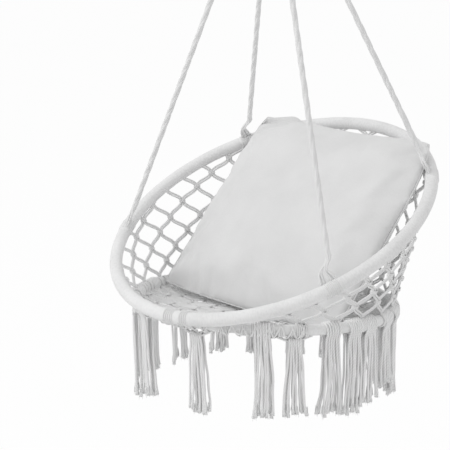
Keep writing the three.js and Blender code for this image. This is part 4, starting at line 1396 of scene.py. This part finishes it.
for i, hole in enumerate(plateHoles):
    place = Matrix.Translation(hole) @ Matrix.Rotation(0.7 * i, 4, "Z")
    copy = copyPiece(head, f"ceiling_screw_{i + 1}_threaded", place)
    settle(copy, "ceiling_plate", zincPlated, "zinc", f"ceiling_screw_{i + 1}")
bpy.data.objects.remove(head)
print("stage: screws")

# Snap carabiner: its body is bent from one wire, flattened to a tongue where the gate turns
snap = {
    "wire": 3.0,
    "wide": 13,
    "narrow": 8.5,
    "wideMiddle": -174.2,
    "narrowMiddle": -216.7,
    "slope": math.asin(4.5 / 42.5),
    "nose": 4.5,
    "noseGap": 0.35,
    "heelStep": 5,
    "flattening": 0.8,
    "tongue": 6,
    "tongueThick": 2,
    "tongueTip": 1.8,
    "gateWire": 3.4,
    "gateFoot": 2.4,
    "gateEdge": 0.6,
    "slot": 2.8,
    "slotRise": 5.75,
}
slope = snap["slope"]
sideUp = Vector((math.sin(slope), 0, math.cos(slope)))
sideUpper, sideLower = (
    Vector((snap[bow] * math.cos(slope), 0, snap[bow + "Middle"] - snap[bow] * math.sin(slope)))
    for bow in ("wide", "narrow")
)
gateTop = sideUpper - sideUp * snap["nose"]
bpy.ops.mesh.primitive_circle_add(
    vertices=28,
    radius=snap["wire"] / 1000,
    fill_type="NGON",
    location=(gateTop + sideUp * snap["noseGap"]) / 1000,
    rotation=(0, slope, 0),
)
body = openPiece("carabiner_body_wire")
bpy.ops.mesh.select_all(action="SELECT")
pull(*sideUp * (snap["nose"] - snap["noseGap"]))
bend(36, math.pi + 2 * slope, snap["wideMiddle"])
pull(*Vector((sideUp.x, 0, -sideUp.z)) * (sideUpper - sideLower).length)
bend(30, math.pi - 2 * slope, snap["narrowMiddle"])
pull(*sideUp * snap["flattening"])
resize((1, snap["tongueThick"] / (2 * snap["wire"]), 1))
pull(*sideUp * (snap["heelStep"] + snap["tongue"] - snap["flattening"] - snap["tongueTip"]))
pull(*sideUp * snap["tongueTip"])
resize((0.6, 0.8, 0.9), sideLower + sideUp * (snap["heelStep"] + snap["tongue"]))
closePiece()
settle(body, "carabiner", zincPlated, "zinc", "carabiner_body")

gateFrom, gateLong = sideLower + sideUp * snap["gateFoot"], (gateTop - sideLower).length - snap["gateFoot"]
bpy.ops.mesh.primitive_cylinder_add(
    vertices=40,
    radius=snap["gateWire"] / 1000,
    depth=gateLong / 1000,
    location=(gateFrom + sideUp * gateLong / 2) / 1000,
    rotation=(0, slope, 0),
)
gate = openPiece("carabiner_gate_sleeve")
ends = [gateFrom, gateFrom + sideUp * gateLong]
pick(gate, "EDGE", lambda p: min(abs((p - end).dot(sideUp)) for end in ends) < 0.1)
bpy.ops.mesh.bevel(offset=snap["gateEdge"] / 1000, segments=3)
closePiece()
bpy.ops.mesh.primitive_cube_add(
    size=1, location=(sideLower + sideUp * snap["slotRise"]) / 1000, rotation=(0, slope, 0)
)
bpy.ops.transform.resize(value=(0.014, snap["slot"] / 1000, 0.0155), orient_type="LOCAL")
bpy.ops.object.transform_apply(location=True, rotation=True, scale=True)
cutAway(gate)
settle(gate, "gate", zincPlated, "zinc", "carabiner_gate")
print("stage: carabiner")

# Carried-over nodes
kept = {
    "upper_hoop_tube": powderCoat,
    "seat_ring_tube": powderCoat,
    "gate_spring": zincPlated,
    "gate_rivet": zincPlated,
}
for node, material in kept.items():
    frame["nodes"][node].data.materials.clear()
    frame["nodes"][node].data.materials.append(material)


# Pale floor and soft studio light
studio = {
    "floor": -2.05,
    "floorSize": 60,
    "glow": 0.95,  # how white the floor shows, past the object's shadow
    "world": 0.66,
    "aim": (0, 0, -1.1),
    "lamps": {  # place, watts, size
        "keyLamp": ((-1.6, -2.4, 1.3), 52, 2.2),
        "fillLamp": ((3.0, -1.2, 0.2), 11, 2.5),
        "backLamp": ((0.5, 3.0, 1.0), 12, 2.5),
    },
}


# 1 for what the camera sees, in metal and glass too, and 0 for the light on the object
def backdropShare(tree):
    lightPath = addNode(tree, "LightPath")
    share = lightPath.outputs["Is Camera Ray"]
    for ray in ("Is Glossy Ray", "Is Transmission Ray"):
        share = addNode(tree, "Math", {0: share, 1: lightPath.outputs[ray]}, operation="MAXIMUM")
    return share


bpy.ops.object.select_all(action="DESELECT")
bpy.ops.mesh.primitive_plane_add(size=studio["floorSize"], location=(0, 0, studio["floor"]))
floor = bpy.context.object
floor.name = "floor"
material, tree, shader, place, uv = newMaterial("studioFloor")
setInputs(shader, {"Base Color": srgb("#f4f4f4"), "Roughness": 0.9})
white = addNode(tree, "Emission", {"Color": (1, 1, 1, 1), "Strength": 1.0})
share = addNode(tree, "Math", {0: backdropShare(tree), 1: studio["glow"]}, operation="MULTIPLY")
mixed = addNode(tree, "MixShader", {0: share, 1: shader, 2: white})
setInputs(next(node for node in tree.nodes if node.type == "OUTPUT_MATERIAL"), {"Surface": mixed})
floor.data.materials.append(material)

world = bpy.data.worlds.new("studio")
bpy.context.scene.world = world
world.use_nodes = True
tree = world.node_tree
tree.nodes.clear()
strength = addNode(tree, "MapRange", {"Value": backdropShare(tree), "To Min": studio["world"], "To Max": 1.0})
sky = addNode(tree, "Background", {"Color": (1, 1, 1, 1), "Strength": strength})
addNode(tree, "OutputWorld", {"Surface": sky})

for name, (place, watts, size) in studio["lamps"].items():
    data = bpy.data.lights.new(name, "AREA")
    data.energy = watts
    data.size = size
    holder = bpy.data.objects.new(name, data)
    bpy.context.scene.collection.objects.link(holder)
    holder.location = place
    holder.rotation_euler = (Vector(studio["aim"]) - Vector(place)).to_track_quat("-Z", "Y").to_euler()
bpy.context.scene.view_settings.view_transform = "Standard"
print("stage: floor and light")
